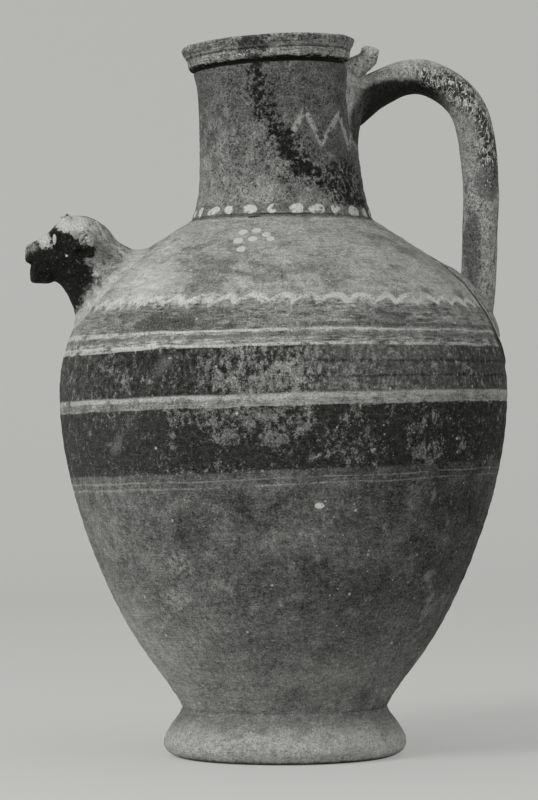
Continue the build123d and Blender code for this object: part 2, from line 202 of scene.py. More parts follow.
def body_line(inset):
    """Outline of the body in three parts, from its floor up to the neck, drawn in by an inset."""
    low, low_z, wide = FOOT_JOINT - inset, FOOT_Z + inset, BELLY_R - inset
    flank = [(low + (wide - low) * a, low_z + (BELLY_Z - low_z) * b) for a, b in FLANK]
    under = curve([(FLOOR_R - inset, FLOOR_Z + inset), (low, low_z)], (1, 0), (0.56, 1), 12)
    side = curve([(low, low_z), *flank, (wide, BELLY_Z)], (0.56, 1), (0, 1), 120)
    return under, side, shoulder_line(inset, 90)


under, side, cap = body_line(0)
outer = np.concatenate([side, cap[1:]])
shoulder = shoulder_line(0, 1001)


def on_shoulder(share):
    """Place on the shoulder at a share of the way up from the belly, and the outline's direction."""
    k = round(share * (len(shoulder) - 1))
    slope = shoulder[k + 1] - shoulder[k - 1]
    return shoulder[k], slope / np.linalg.norm(slope)


SPOUT_ROOT, SPOUT_SLOPE = on_shoulder(0.527)
PAD_FOOT, PAD_SLOPE = on_shoulder(0.42)
HANDLE_FOOT = on_shoulder(0.365)[0]
BORE_Z = SPOUT_ROOT[1] + BORE_RISE


def along_pad(x, z):
    """Way up the shoulder from the middle of the clay under the handle's foot, for points or paint."""
    return (x - float(PAD_FOOT[0])) * float(PAD_SLOPE[0]) + (z - float(PAD_FOOT[1])) * float(PAD_SLOPE[1])


# The hand-made surface: chips and pits, at places read from the photograph or spread by a fixed seed
rng = np.random.default_rng(7)
DENTS = []


def dent(x, y, z, radius, depth):
    DENTS.append((np.array([x, y, z], float), radius, depth))


dent(12.5, -102.5, 124.0, 3.2, 0.8)
dent(44.0, -80.0, 110.0, 2.2, 0.5)
dent(-15.0, -80.0, 63.0, 2.4, 0.5)
for _ in range(70):
    turn, z = rng.uniform(-math.pi, math.pi), rng.uniform(30, 255)
    r = np.interp(z, outer[:, 1], outer[:, 0])
    dent(r * math.cos(turn), r * math.sin(turn), z, rng.uniform(1.2, 3.0), rng.uniform(0.12, 0.4))
FOOT_CHIP_R, RIM_CHIP_R, LIP_UP = 61.5, 43.5, 12
for _ in range(26):
    turn = rng.uniform(-math.pi, math.pi)
    dent(FOOT_CHIP_R * math.cos(turn), FOOT_CHIP_R * math.sin(turn), rng.uniform(1.0, 7.0),
         rng.uniform(2.0, 5.0), rng.uniform(0.3, 0.8))
for _ in range(40):
    turn, up = rng.uniform(-math.pi, math.pi), rng.uniform(3.0, 13.5)
    r = RIM_CHIP_R - rng.uniform(0, 6) * (up > LIP_UP)
    dent(r * math.cos(turn) - NECK_LEAN, r * math.sin(turn),
         NECK_TOP_Z + up + r * math.cos(turn) * math.sin(RIM_TILT),
         rng.uniform(1.5, 3.5), rng.uniform(0.25, 0.8))


def relief(p):
    """How far the hand-thrown wall stands out from its true outline at points p."""
    flat = p.reshape(-1, 3)
    z = flat[:, 2] - 0.02 * flat[:, 0]
    rough = noise(flat, 45, 3) * 0.5 + 0.5
    out = lumps(flat, WALL_LUMPS)
    # Wheel lines, broad and fine
    out += 0.13 * rough * np.sin(z / 1.22 + 2.2 * noise(flat, 60, 6))
    out += 0.07 * np.sin(z / 0.52 + 3 * noise(flat, 40, 8)) * (noise(flat, 30, 9) > -0.1)
    # Clay spread under the handle's foot
    along = along_pad(flat[:, 0], flat[:, 2])
    edge = np.hypot(along / SPREAD_HALF, flat[:, 1] / (SPREAD_HALF - SPREAD_TAPER * np.clip(along, -40, 40)))
    out += SPREAD_THICK * smooth(1.03, 0.98, edge + 0.012 * noise(flat, 9, 10)) * (flat[:, 0] > 0)
    for centre, radius, depth in DENTS:
        near = np.flatnonzero(((flat - centre)**2).sum(1) < radius * radius)
        if len(near):
            d = ((flat[near] - centre)**2).sum(1) / radius**2
            out[near] -= depth * (1 - d)**2
    return out.reshape(p.shape[:-1])


# Turned pieces
def make_mesh(name, points, quads, triangles=()):
    """A named mesh object, in metres."""
    mesh = bpy.data.meshes.new(name)
    quads = np.asarray(quads, np.int32).reshape(-1, 4)
    triangles = np.asarray(triangles, np.int32).reshape(-1, 3)
    mesh.vertices.add(len(points))
    mesh.vertices.foreach_set("co", (np.asarray(points, np.float64) / METRE).astype(np.float32).ravel())
    loops = np.concatenate([quads.ravel(), triangles.ravel()])
    mesh.loops.add(len(loops))
    mesh.loops.foreach_set("vertex_index", loops)
    starts = np.concatenate([np.arange(len(quads)) * 4, len(quads) * 4 + np.arange(len(triangles)) * 3])
    mesh.polygons.add(len(starts))
    mesh.polygons.foreach_set("loop_start", starts.astype(np.int32))
    mesh.polygons.foreach_set("use_smooth", np.ones(len(starts), bool))
    mesh.update(calc_edges=True)
    mesh.validate()
    piece = bpy.data.objects.new(name, mesh)
    bpy.context.scene.collection.objects.link(piece)
    return piece


def ring_rows(rows):
    """Points of a lathe grid. A row is a radius, a height over the ring's plane, and that plane's
    lean, height and tilt."""
    rows = np.asarray(rows, float)
    phi = np.arange(SEGMENTS) * 2 * math.pi / SEGMENTS
    radius, rise, lean, height, tilt = (rows[:, k, None] for k in range(5))
    across = radius * np.cos(phi)
    x = -lean + across * np.cos(tilt) - rise * np.sin(tilt)
    y = radius * np.sin(phi) + 0 * lean
    z = height + across * np.sin(tilt) + rise * np.cos(tilt)
    return np.stack([x, y, z], axis=-1)


def upright(points):
    """Lathe rows of plain (radius, height) points."""
    p = np.asarray(points, float)
    zero = np.zeros(len(p))
    return np.stack([p[:, 0], zero, zero, p[:, 1], zero], axis=1)


def lathe(name, rows, amount, closed):
    """A turned piece with a hand-made surface. amount is each row's share of the relief."""
    grid = ring_rows(rows)
    around = np.roll(grid, -1, axis=1) - np.roll(grid, 1, axis=1)
    if closed:
        along = np.roll(grid, -1, axis=0) - np.roll(grid, 1, axis=0)
    else:
        along = np.gradient(grid, axis=0)
    normal = np.cross(around, along)
    normal /= np.maximum(np.linalg.norm(normal, axis=-1, keepdims=True), 1e-9)
    grid = grid + normal * (relief(grid) * np.asarray(amount)[:, None])[..., None]
    count = len(grid)
    index = np.arange(count * SEGMENTS).reshape(count, SEGMENTS)
    if closed:
        low, high = index, np.roll(index, -1, axis=0)
    else:
        low, high = index[:-1], index[1:]
    quads = np.stack([low, np.roll(low, -1, axis=1), np.roll(high, -1, axis=1), high], axis=-1).reshape(-1, 4)
    points, fans = grid.reshape(-1, 3), []
    if not closed:
        for k, flip in ((0, True), (-1, False)):
            pole, row = len(points), index[k]
            points = np.concatenate([points, [[0, 0, grid[k, :, 2].mean()]]])
            fan = np.stack([row, np.roll(row, -1), np.full(SEGMENTS, pole)], axis=-1)
            fans.append(fan[:, ::-1] if flip else fan)
        fans = np.concatenate(fans)
    return make_mesh(name, points, quads, fans)


# Foot ring
lip = curve([(FOOT_CONTACT, 0), (FOOT_WIDEST, FOOT_WIDEST_Z)], (1, 0.3), (0, 1), 12)
flare = curve([(FOOT_WIDEST, FOOT_WIDEST_Z), (FOOT_JOINT, FOOT_Z)], (0, 1), (-0.36, 1), 24)
hollow = curve([(FOOT_HOLLOW, FLOOR_Z), (FOOT_CONTACT_INNER, 0)], (1, -0.35), (0.5, -1), 16)
outside = resample(np.concatenate([lip, flare[1:]]), 0.8)
section = np.concatenate([outside, under[::-1][1:], [(FOOT_HOLLOW, FLOOR_Z)], hollow[1:]])
amount = np.concatenate([smooth(0.0, 2.5, outside[:, 1]), np.zeros(len(section) - len(outside))])
foot = lathe("foot_ring_clay", upright(section), amount, True)

# Body shell
in_under, in_side, in_cap = body_line(WALL)
lip_r = NECK_R - NECK_WALL
skin = resample(outer, 1.15)
inside = np.concatenate([resample([(NECK_R, NECK_Z), (lip_r, NECK_Z)], 2.0)[1:],
                         [(lip_r, NECK_Z - WALL + 0.5)],
                         resample(np.concatenate([in_under, in_side[1:], in_cap[1:]]), 3.5)[::-1]])
section = np.concatenate([[(20.0, FLOOR_Z)], under[:-1], skin, inside, [(18.0, FLOOR_Z + WALL)]])
amount = np.zeros(len(section))
amount[len(under):len(under) + len(skin)] = 1
body = lathe("body_shell", upright(section), amount, False)

# Neck
out_rows, in_rows = neck_rows(0, 1.0), neck_rows(NECK_WALL, 1.6)[::-1]
neck = lathe("neck_tube", np.concatenate([out_rows, in_rows]),
             np.concatenate([np.ones(len(out_rows)), np.full(len(in_rows), 0.6)]), True)

# Moulded rim
profile = resample(soften(RIM_PROFILE, 0.6), 0.55)
plane = np.tile([NECK_LEAN, NECK_TOP_Z, RIM_TILT], (len(profile), 1))
rim = lathe("rim_moulding", np.concatenate([profile, plane], axis=1),
            smooth(0.0, 2.5, profile[:, 1]) * 1.4, True)


# Solid clay, as distances in a block of space
class Clay:
    """A block of space with a distance to a surface at each point of a grid."""

    def __init__(self, low, high, step):
        self.low, self.step = np.array(low, float), step
        count = np.ceil((np.array(high) - low) / step).astype(int) + 1
        axes = [self.low[k] + step * np.arange(count[k]) for k in range(3)]
        self.points = np.stack(np.meshgrid(*axes, indexing="ij"), axis=-1)
        self.field = np.full(self.points.shape[:3], 30.0)

    def window(self, centre, reach):
        """Slices of the grid round a point."""
        first = np.floor((centre - reach - self.low) / self.step).astype(int)
        last = np.ceil((centre + reach - self.low) / self.step).astype(int) + 1
        first = np.maximum(first, 0)
        last = np.minimum(last, self.field.shape)
        return tuple(slice(a, max(a, b)) for a, b in zip(first, last))


def ellipsoid(p, centre, sizes, axes=None, power=2.0):
    """Distance to an ellipsoid of given half sizes, or to a squarer lump, at points p."""
    local = p - np.asarray(centre, float)
    if axes is not None:
        local = local @ np.asarray(axes, float).T
    reach = (abs(local / np.asarray(sizes, float))**power).sum(-1)**(1 / power)
    return (reach - 1) * min(sizes)


def blob(clay, centre, axes, sizes, power=2.0, margin=6.0):
    """Add a rounded lump to a block."""
    box = clay.window(np.asarray(centre, float), max(sizes) + margin)
    clay.field[box] = np.minimum(clay.field[box], ellipsoid(clay.points[box], centre, sizes, axes, power))


TABLE_STEP, TABLE_Z, TABLE_TOP, TABLE_R = 0.5, 175, 360, 150


def vessel_table():
    """Distance to the outline of body and neck, on a table of radius and height."""
    neck_line = neck_rows(0, 1.0)
    line = np.concatenate([outer, np.stack([neck_line[1:, 0], neck_line[1:, 3]], axis=1)])
    line = resample(line, TABLE_STEP)
    line = line[line[:, 1] > TABLE_Z - 10]
    r, z = np.meshgrid(np.arange(0, TABLE_R, TABLE_STEP),
                       np.arange(TABLE_Z, TABLE_TOP, TABLE_STEP), indexing="ij")
    best = np.full(r.shape, 1e9)
    for a, b in line:
        np.minimum(best, (r - a)**2 + (z - b)**2, out=best)
    return np.sqrt(best) * np.where(r < np.interp(z, line[:, 1], line[:, 0]), -1, 1)


TABLE = vessel_table()
LEAN_Z = [NECK_Z + (NECK_TOP_Z - NECK_Z) * row[0] for row in NECK_RINGS]
LEAN_X = [NECK_LEAN * row[2] for row in NECK_RINGS]


def vessel(p):
    """Distance to the hand-made outside of body and neck."""
    x = p[..., 0] + np.interp(p[..., 2], LEAN_Z, LEAN_X)
    u = np.clip(np.hypot(x, p[..., 1]) / TABLE_STEP, 0, TABLE.shape[0] - 2)
    v = np.clip((p[..., 2] - TABLE_Z) / TABLE_STEP, 0, TABLE.shape[1] - 2)
    i, j = u.astype(int), v.astype(int)
    u, v = u - i, v - j
    flat = ((1 - u) * (1 - v) * TABLE[i, j] + u * (1 - v) * TABLE[i + 1, j]
            + (1 - u) * v * TABLE[i, j + 1] + u * v * TABLE[i + 1, j + 1])
    near = abs(flat) < 4
    flat[near] -= relief(p[near])
    return flat


def sample(clay, p):
    """Values of a block at points between its own."""
    q = np.clip((p - clay.low) / clay.step, 0, np.array(clay.field.shape) - 1.001)
    i = q.astype(int)
    t = q - i
    total = np.zeros(len(p))
    for corner in range(8):
        c = np.array([corner & 1, corner >> 1 & 1, corner >> 2])
        k = i + c
        total += np.prod(np.where(c, t, 1 - t), axis=1) * clay.field[k[:, 0], k[:, 1], k[:, 2]]
    return total


def cut(axis, part):
    """Slices that take a part along one axis of a grid."""
    slices = [slice(None)] * 3
    slices[axis] = part
    return tuple(slices)


def skin_of(name, clay):
    """A mesh of the surface where the block's distance is zero, drawn through its grid cells."""
    field = clay.field
    inside = field < 0
    shape = tuple(np.array(field.shape) - 1)
    total, count = np.zeros((*shape, 3)), np.zeros(shape)
    crossings = []
    for axis in range(3):
        others = [k for k in range(3) if k != axis]
        first, last = cut(axis, slice(0, -1)), cut(axis, slice(1, None))
        a, b = field[first], field[last]
        cross = inside[first] != inside[last]
        t = np.where(cross, a / np.where(cross, a - b, 1), 0)
        crossings.append((cross, inside[first]))
        for du in (0, 1):
            for dv in (0, 1):
                part = [slice(None)] * 3
                for k, d in zip(others, (du, dv)):
                    part[k] = slice(d, d + shape[k])
                c = cross[tuple(part)]
                total[..., axis] += t[tuple(part)]
                total[..., others[0]] += c * du
                total[..., others[1]] += c * dv
                count += c
    used = count > 0
    index = np.full(shape, -1)
    index[used] = np.arange(used.sum())
    points = clay.low + clay.step * (np.argwhere(used) + total[used] / count[used][:, None])
    quads = []
    for axis in range(3):
        cross, start_inside = crossings[axis]
        others = [k for k in range(3) if k != axis]
        place = np.argwhere(cross)
        keep = np.ones(len(place), bool)
        for k in others:
            keep &= (place[:, k] > 0) & (place[:, k] < shape[k])
        place = place[keep]
        ring = []
        for du, dv in ((1, 1), (0, 1), (0, 0), (1, 0)):
            at = place.copy()
            at[:, others[0]] -= du
            at[:, others[1]] -= dv
            ring.append(index[at[:, 0], at[:, 1], at[:, 2]])
        ring = np.stack(ring, axis=1)
        forward = start_inside[place[:, 0], place[:, 1], place[:, 2]] ^ (axis == 1)
        ring[~forward] = ring[~forward][:, ::-1]
        quads.append(ring)
    # Draw the points onto the surface itself
    reach = 0.4
    for _ in range(2):
        value = sample(clay, points)
        slope = np.stack([(sample(clay, points + e) - sample(clay, points - e)) / (2 * reach)
                          for e in np.eye(3) * reach], axis=1)
        size = np.maximum((slope**2).sum(1), 0.2)
        points = points - slope * (np.clip(value, -0.5, 0.5) / size)[:, None]
    return make_mesh(name, points, np.concatenate(quads))


LIFT, BURIED = 1.8, 1.2  # how far the wall's own skin is kept off the mesh, and how deep a lump goes


def join_to_vessel(clay, fillet, skirt=12.0):
    """Blend the block's lump into the vessel's wall, and keep only what shows."""
    wall = vessel(clay.points)
    lump = clay.field
    clay.field = smooth_min(lump, wall, fillet) + LIFT * smooth(0.7 * fillet, 0.7 * fillet + skirt, lump)
    clay.field = np.maximum(clay.field, -BURIED - wall)


def roughen(clay, layers):
    """Make the skin of a block uneven."""
    near = abs(clay.field) < SKIN_DEPTH
    clay.field[near] -= lumps(clay.points[near], layers)


# Handle, with a flattened pad of clay under each root
root_z = NECK_TOP_Z - HANDLE_DROP
start_x = NECK_TOP_R - NECK_WALL / 2
span, drop = HANDLE_FOOT[0] - start_x, root_z - HANDLE_FOOT[1]
route = [(start_x, root_z)]
route += [(start_x + span * a, root_z + HANDLE_RISE * b) for a, b in HANDLE_ARCH]
route += [(start_x + span * a, root_z - drop * b) for a, b in HANDLE_LEG]
route = curve(route + [(HANDLE_FOOT[0] - 4, HANDLE_FOOT[1] - 16)], count=260)
shares = np.array(HANDLE_SECTIONS)
coil = Clay((24, -27, 208), (116, 27, 356), 0.8)
for k, place in enumerate(route):
    at = k / (len(route) - 1)
    ahead = route[min(k + 1, len(route) - 1)] - route[max(k - 1, 0)]
    ahead = ahead / np.linalg.norm(ahead)
    half, wide = (np.interp(at, shares[:, 0], shares[:, j]) for j in (1, 2))
    half *= HANDLE_HALF_THICK
    blob(coil, (place[0], 0, place[1]), ((ahead[0], 0, ahead[1]), (0, 1, 0), (-ahead[1], 0, ahead[0])),
         (half, HANDLE_HALF_WIDE * wide, half), margin=8)
blob(coil, (41, 0, 335.5), np.eye(3), (7.5, 8.5, 5.0))
blob(coil, (NECK_TOP_R - 3, 0, root_z + 0.5), np.eye(3), (5.2, 18, 14.5))
blob(coil, (PAD_FOOT[0], 0, PAD_FOOT[1]),
     ((PAD_SLOPE[0], 0, PAD_SLOPE[1]), (0, 1, 0), (PAD_SLOPE[1], 0, -PAD_SLOPE[0])), (20, 19.5, 4.2))
roughen(coil, HANDLE_LUMPS)
join_to_vessel(coil, 5.5)
handle = skin_of("handle_coil", coil)

# Thumb lug: a strap from under the rim, bent up into a peg
strap = Clay((28, -13, 332), (62, 13, 366), 0.5)
for along, up, bend, thick, wide in curve(LUG_SECTIONS, count=60):
    angle = bend * math.pi / 2
    place = (NECK_TOP_R - NECK_LEAN + LUG_REACH * along, 0, NECK_TOP_Z + LUG_RISE * up)
    blob(strap, place,
         ((math.sin(angle), 0, math.cos(angle)), (0, 1, 0), (-math.cos(angle), 0, math.sin(angle))),
         (LUG_SLICE, LUG_HALF_WIDE * wide, LUG_HALF_THICK * thick), power=3.2, margin=5)
roughen(strap, LUG_LUMPS)
lug = skin_of("thumb_lug_clay", strap)

# Animal head: slices along its axis, between which the distance is blended
skull = Clay((-137, -36, 203), (-66, 36, 276), 0.6)
p = skull.points
root = np.array([-SPOUT_ROOT[0], 0, SPOUT_ROOT[1]])
f = np.full(skull.field.shape, 30.0)
for k, (forward, up, tilt, deep, wide) in enumerate(curve(HEAD_SECTIONS, count=45)):
    angle = math.radians(45) * tilt
    ahead = np.array([-math.cos(angle), 0, math.sin(angle)])
    above = np.array([math.sin(angle), 0, math.cos(angle)])
    local = p - (root + HEAD_L * np.array([-forward, 0, up]))
    a, b = HEAD_D * deep / 2, HEAD_W * wide / 2
    u, v = local @ above / a, local[..., 1] / b
    reach = np.sqrt(u * u + v * v)
    flat = (reach - 1) * reach / np.maximum(np.sqrt((u / a)**2 + (v / b)**2), 1e-6)
    flat = np.maximum(flat, -min(a, b))
    ahead_by = local @ ahead
    if k:
        between = (ahead_before >= 0) & (ahead_by < 0)
        t = ahead_before / np.where(between, ahead_before - ahead_by, 1)
        f = np.where(between, (1 - t) * before + t * flat, f)
    f = np.where(ahead_by >= 0, flat, f)
    before, ahead_before = flat, ahead_by
rounding = 3.0
corner = np.hypot(np.maximum(flat + rounding, 0), np.maximum(ahead_by + rounding, 0)) - rounding
f = np.where(ahead_by > -rounding, np.maximum(f, corner), f)


def carve(field, other, fillet):
    """Take a lump out, with a fillet round the hole."""
    return -smooth_min(-field, other, fillet)


# A blunt nose over the mouth, a chin set back under it, and the throat
lips_x = root[0] - HEAD_L
f = f + 1.3 * smooth(-113, -101, p[..., 0]) * smooth(248, 258, p[..., 2])
f = f + 0.8 * smooth(-99, -91, p[..., 0]) * smooth(251, 257, p[..., 2])
f = smooth_min(f, ellipsoid(p, (lips_x + 3.6, 0, BORE_Z + 4.6), (4.9, 7.2, 4.0), power=2.5), 2.0)
front = lips_x + 2.8 - 2.8 * smooth(BORE_Z - 0.4, BORE_Z + 2.0, p[..., 2])
f = carve(f, p[..., 0] - front, 1.2)
f = smooth_min(f, ellipsoid(p, (lips_x + 8.2, 0, BORE_Z - 4.6), (5.7, 6.6, 4.7), power=4.5), 1.0)
f = smooth_min(f, ellipsoid(p, (-97.5, 0, 226.0), (6.5, 9.0, 10.0)), 4.0)
f = carve(f, ellipsoid(p, (lips_x + 0.4, 0, BORE_Z - 0.1), (3.2, 9.5, 1.0)), 1.0)
# Sunken sides of the snout, cheeks, horns and cupped ears
for side in (-1, 1):
    f = carve(f, ellipsoid(p, (-118.5, 14.5 * side, 252.0), (7.0, 3.6, 4.5)), 4.0)
    f = smooth_min(f, ellipsoid(p, (-114.9, 9.9 * side, 255.6), (3.6, 3.4, 4.4)), 2.5)
    f = smooth_min(f, ellipsoid(p, (-109.0, 6.8 * side, 264.3), (2.6, 2.8, 4.2)), 2.0)
    ear_axes = np.array([(0.12, 0.9 * side, -0.25), (0.35, 0, 0.94), (0.9, -0.2 * side, -0.3)])
    ear_axes /= np.linalg.norm(ear_axes, axis=1, keepdims=True)
    f = smooth_min(f, ellipsoid(p, (-100.2, 17.0 * side, 252.4), (8.6, 6.4, 3.9), ear_axes), 3.0)
    f = carve(f, ellipsoid(p, (-102.4, 21.6 * side, 248.8), (6.6, 3.6, 4.2), ear_axes), 1.2)
# The fan of clay smoothed down onto the shoulder, with the finger marks left in it
FAN_UP = np.array([-SPOUT_SLOPE[1], 0, -SPOUT_SLOPE[0]])
FAN_ALONG = np.array([-SPOUT_SLOPE[0], 0, SPOUT_SLOPE[1]])
spread = np.hypot((p - root) @ FAN_ALONG / FAN_HALF_LONG, p[..., 1] / FAN_HALF_WIDE)
fan = np.maximum(vessel(p) - FAN_THICK * (1 - smooth(0.5, 1.0, spread)), (spread - 1) * 20)
skull.field = smooth_min(f, fan, 6.0)
near = abs(skull.field) < SKIN_DEPTH
spots = skull.points[near]
local = spots - root
stripes = np.stack([local[:, 1], local @ FAN_UP * 0.25, local @ FAN_ALONG * 0.12], axis=1)
skull.field[near] -= lumps(spots, HEAD_LUMPS) + 0.30 * smooth(15, 4, local @ FAN_UP) * noise(stripes, 1.6, 44)
join_to_vessel(skull, 2.6, 8.0)
# The bore from the lips, and the throat behind it
bore = np.hypot(p[..., 1], p[..., 2] - BORE_Z)
throat = np.maximum(bore - THROAT_R, lips_x + HEAD_L / 2 - p[..., 0])
skull.field = np.maximum(skull.field, -np.minimum(bore - BORE_R, throat))
head = skin_of("spout_head_clay", skull)

# What stands for what
for piece, nodes, slot in (
        (foot, ("foot_ring",), "foot_clay"), (body, ("body",), "painted_body_clay"),
        (neck, ("neck",), "painted_neck_clay"), (rim, ("rim_collar",), "rim_clay"),
        (handle, ("handle", "handle_upper_pad", "handle_lower_pad"), "handle_clay"),
        (lug, ("thumb_lug",), "handle_clay"),
        (head, ("spout_head", "spout_collar", "left_ear", "right_ear", "left_horn", "right_horn"),
         "spout_clay")):
    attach(piece, "root")
    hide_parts(*nodes)


# Materials
class Sock:
    """A number inside a material, with arithmetic."""

    def __init__(self, paint, out):
        self.paint, self.out = paint, out

    def __add__(self, other): return self.paint.math("ADD", self, other)
    def __radd__(self, other): return self.paint.math("ADD", self, other)
    def __sub__(self, other): return self.paint.math("SUBTRACT", self, other)
    def __rsub__(self, other): return self.paint.math("SUBTRACT", other, self)
    def __mul__(self, other): return self.paint.math("MULTIPLY", self, other)
    def __rmul__(self, other): return self.paint.math("MULTIPLY", self, other)
    def __truediv__(self, other): return self.paint.math("DIVIDE", self, other)
    def __pow__(self, other): return self.paint.math("POWER", self, other)
    def __abs__(self): return self.paint.math("ABSOLUTE", self)


PRINT_TINT = (1.0, 1.0, 0.965)  # the slight warmth of the photograph's paper
EYE_GAMMA, BLACK = 2.2, 0.02
ACROSS_X, ACROSS_Y = 0.985, -0.174  # direction across the photograph, 10 degrees round from X


class Paint:
    """A clay material. Its greys are worked out as the eye sees them, from places in millimetres."""

    def __init__(self, name, roughness=0.78):
        self.material = bpy.data.materials.new(name)
        self.material.use_nodes = True
        self.tree = self.material.node_tree
        self.tree.nodes.clear()
        self.shader = self.new("ShaderNodeBsdfPrincipled")
        self.shader.inputs["Roughness"].default_value = roughness
        self.shader.inputs["Specular IOR Level"].default_value = 0.12
        end = self.new("ShaderNodeOutputMaterial")
        self.tree.links.new(self.shader.outputs[0], end.inputs["Surface"])
        where = self.new("ShaderNodeTexCoord")
        scaled = self.new("ShaderNodeVectorMath", operation="SCALE")
        scaled.inputs["Scale"].default_value = METRE
        self.tree.links.new(where.outputs["Object"], scaled.inputs[0])
        self.place = scaled.outputs[0]
        parts = self.new("ShaderNodeSeparateXYZ")
        self.tree.links.new(self.place, parts.inputs[0])
        self.x, self.y, self.z = (Sock(self, out) for out in parts.outputs)
        self.turn = self.math("ARCTAN2", self.y, self.x)
        self.across = self.x * ACROSS_X + self.y * ACROSS_Y

    def new(self, kind, **settings):
        node = self.tree.nodes.new(kind)
        for key, value in settings.items():
            setattr(node, key, value)
        return node

    def feed(self, socket, value):
        if isinstance(value, Sock):
            self.tree.links.new(value.out, socket)
        else:
            socket.default_value = value

    def math(self, operation, *values):
        node = self.new("ShaderNodeMath", operation=operation)
        for socket, value in zip(node.inputs, values):
            self.feed(socket, value)
        return Sock(self, node.outputs[0])

    def low(self, a, b): return self.math("MINIMUM", a, b)
    def high(self, a, b): return self.math("MAXIMUM", a, b)

    def step(self, value, a, b):
        """0 where the value is at a, 1 where it is at b, smooth between them."""
        node = self.new("ShaderNodeMapRange", interpolation_type="SMOOTHSTEP")
        low, high = (1.0, 0.0) if a > b else (0.0, 1.0)
        for name, number in (("Value", value), ("From Min", min(a, b)), ("From Max", max(a, b)),
                             ("To Min", low), ("To Max", high)):
            self.feed(node.inputs[name], number)
        return Sock(self, node.outputs[0])

    def above(self, value, at, soft):
        """0 below a value, 1 above it, with a soft edge."""
        return self.step(value, at - soft, at + soft)

    def band(self, value, a, b, soft):
        """1 between a and b, with soft edges."""
        return self.step(value, a - soft, a + soft) * self.step(value, b + soft, b - soft)

    def mix(self, share, a, b):
        """a where the share is 0, b where it is 1."""
        node = self.new("ShaderNodeMix", data_type="FLOAT")
        for name, value in (("Factor", share), ("A", a), ("B", b)):
            self.feed(node.inputs[name], value)
        return Sock(self, node.outputs[0])

    def lay(self, share, tone):
        """Lay a tone over what is painted so far."""
        self.grey = self.mix(share, self.grey, tone)

    def grains(self, kind, size, seed, stretch):
        """A texture node of a kind, with grains of about the given size."""
        shift = self.new("ShaderNodeMapping")
        shift.inputs["Location"].default_value = (seed * 17.3, seed * 5.1, seed * 9.7)
        shift.inputs["Scale"].default_value = tuple(1 / (size * s) for s in stretch)
        self.tree.links.new(self.place, shift.inputs[0])
        node = self.new(kind)
        node.inputs["Scale"].default_value = 1.0
        self.tree.links.new(shift.outputs[0], node.inputs["Vector"])
        return node

    def cloud(self, size, seed, detail=3.0, stretch=(1, 1, 1), rough=0.6, warp=0.0):
        """Noise round zero, mostly from -1 to 1."""
        node = self.grains("ShaderNodeTexNoise", size, seed, stretch)
        node.inputs["Detail"].default_value = detail
        node.inputs["Roughness"].default_value = rough
        node.inputs["Distortion"].default_value = warp
        return self.math("MULTIPLY_ADD", Sock(self, node.outputs[0]), 16.0, -8.0)

    def grain(self, *sizes):
        """Fine, middle and coarse grain of the clay, as noise of the given sizes."""
        return [self.cloud(size, seed, detail, rough=rough)
                for size, (seed, detail, rough) in zip(sizes, ((5, 2, 0.75), (6, 4, 0.6), (4, 4, 0.6)))]

    def wheel(self, size, seed, flat):
        """Streaks that run round the jug."""
        return self.cloud(size, seed, 4, (flat, flat, 1), 0.65)

    def bits(self, size, seed, a, b, detail=3):
        """1 in scattered pits, chips or flakes, more of them the nearer a and b are to zero."""
        return self.step(self.cloud(size, seed, detail, rough=0.7), a, b)

    def specks(self, size, seed, share, radius):
        """1 in small round spots scattered over a share of the cells of a size."""
        node = self.grains("ShaderNodeTexVoronoi", size, seed, (1, 1, 1))
        parts = self.new("ShaderNodeSeparateColor")
        self.tree.links.new(node.outputs["Color"], parts.inputs[0])
        chosen = self.step(Sock(self, parts.outputs[0]), share + 0.02, share - 0.02)
        ratio = radius / size
        return chosen * self.step(Sock(self, node.outputs["Distance"]), ratio * 1.3, ratio * 0.7)

    def within(self, place, sizes, y=None):
        """0 in the middle of an ellipsoid round a place, 1 at its edge."""
        parts = [(at - mid) / size for at, mid, size in zip((self.x, y or self.y, self.z), place, sizes)]
        return parts[0] * parts[0] + parts[1] * parts[1] + parts[2] * parts[2]

    def near(self, place, sizes):
        """1 in the middle of an ellipsoid round a place, falling softly to 0 at its edge."""
        return self.step(self.within(place, sizes), 1.0, 0.0)

    def patches(self, spots):
        """Soft patches added up, each with its place, sizes and strength."""
        total = 0.0
        for place, sizes, strength in spots:
            total = total + self.near(place, sizes) * strength
        return total

    def segment(self, a, b):
        """Distance from the line between two places."""
        line = [q - p for p, q in zip(a, b)]
        length = sum(v * v for v in line)
        off = [at - p for at, p in zip((self.x, self.y, self.z), a)]
        t = (off[0] * line[0] + off[1] * line[1] + off[2] * line[2]) / length
        t = self.low(self.high(t, 0.0), 1.0)
        d = [o - t * v for o, v in zip(off, line)]
        return (d[0] * d[0] + d[1] * d[1] + d[2] * d[2]) ** 0.5

    def stroke(self, places):
        """Distance from a broken line through places."""
        lines = [self.segment(a, b) for a, b in zip(places[:-1], places[1:])]
        least = lines[0]
        for line in lines[1:]:
            least = self.low(least, line)
        return least

    def finish(self, piece, bump, depth):
        """Colour the clay with its grey as the eye sees it, raise its grain by a height, and coat a piece."""
        light = self.high(self.grey, BLACK) ** EYE_GAMMA
        colour = self.new("ShaderNodeCombineColor")
        for socket, share in zip(colour.inputs, PRINT_TINT):
            self.feed(socket, light * share)
        self.tree.links.new(colour.outputs[0], self.shader.inputs["Base Color"])
        node = self.new("ShaderNodeBump")
        node.inputs["Distance"].default_value = depth / METRE
        self.feed(node.inputs["Height"], bump)
        self.tree.links.new(node.outputs[0], self.shader.inputs["Normal"])
        piece.data.materials.append(self.material)


# Painted bands: where they part, and how the rings tilt to the right, more and more towards the foot
DARK_LOW, DARK_TOP, UPPER_TOP, STRIP_TOP, ZONE_TOP = 143.0, 174.7, 201.1, 208.2, 221.1
RING_LEVEL, RING_TILT, TILT_GROWS = 207, 0.012, 0.0004
STRIPE = (172.6, 178.6)
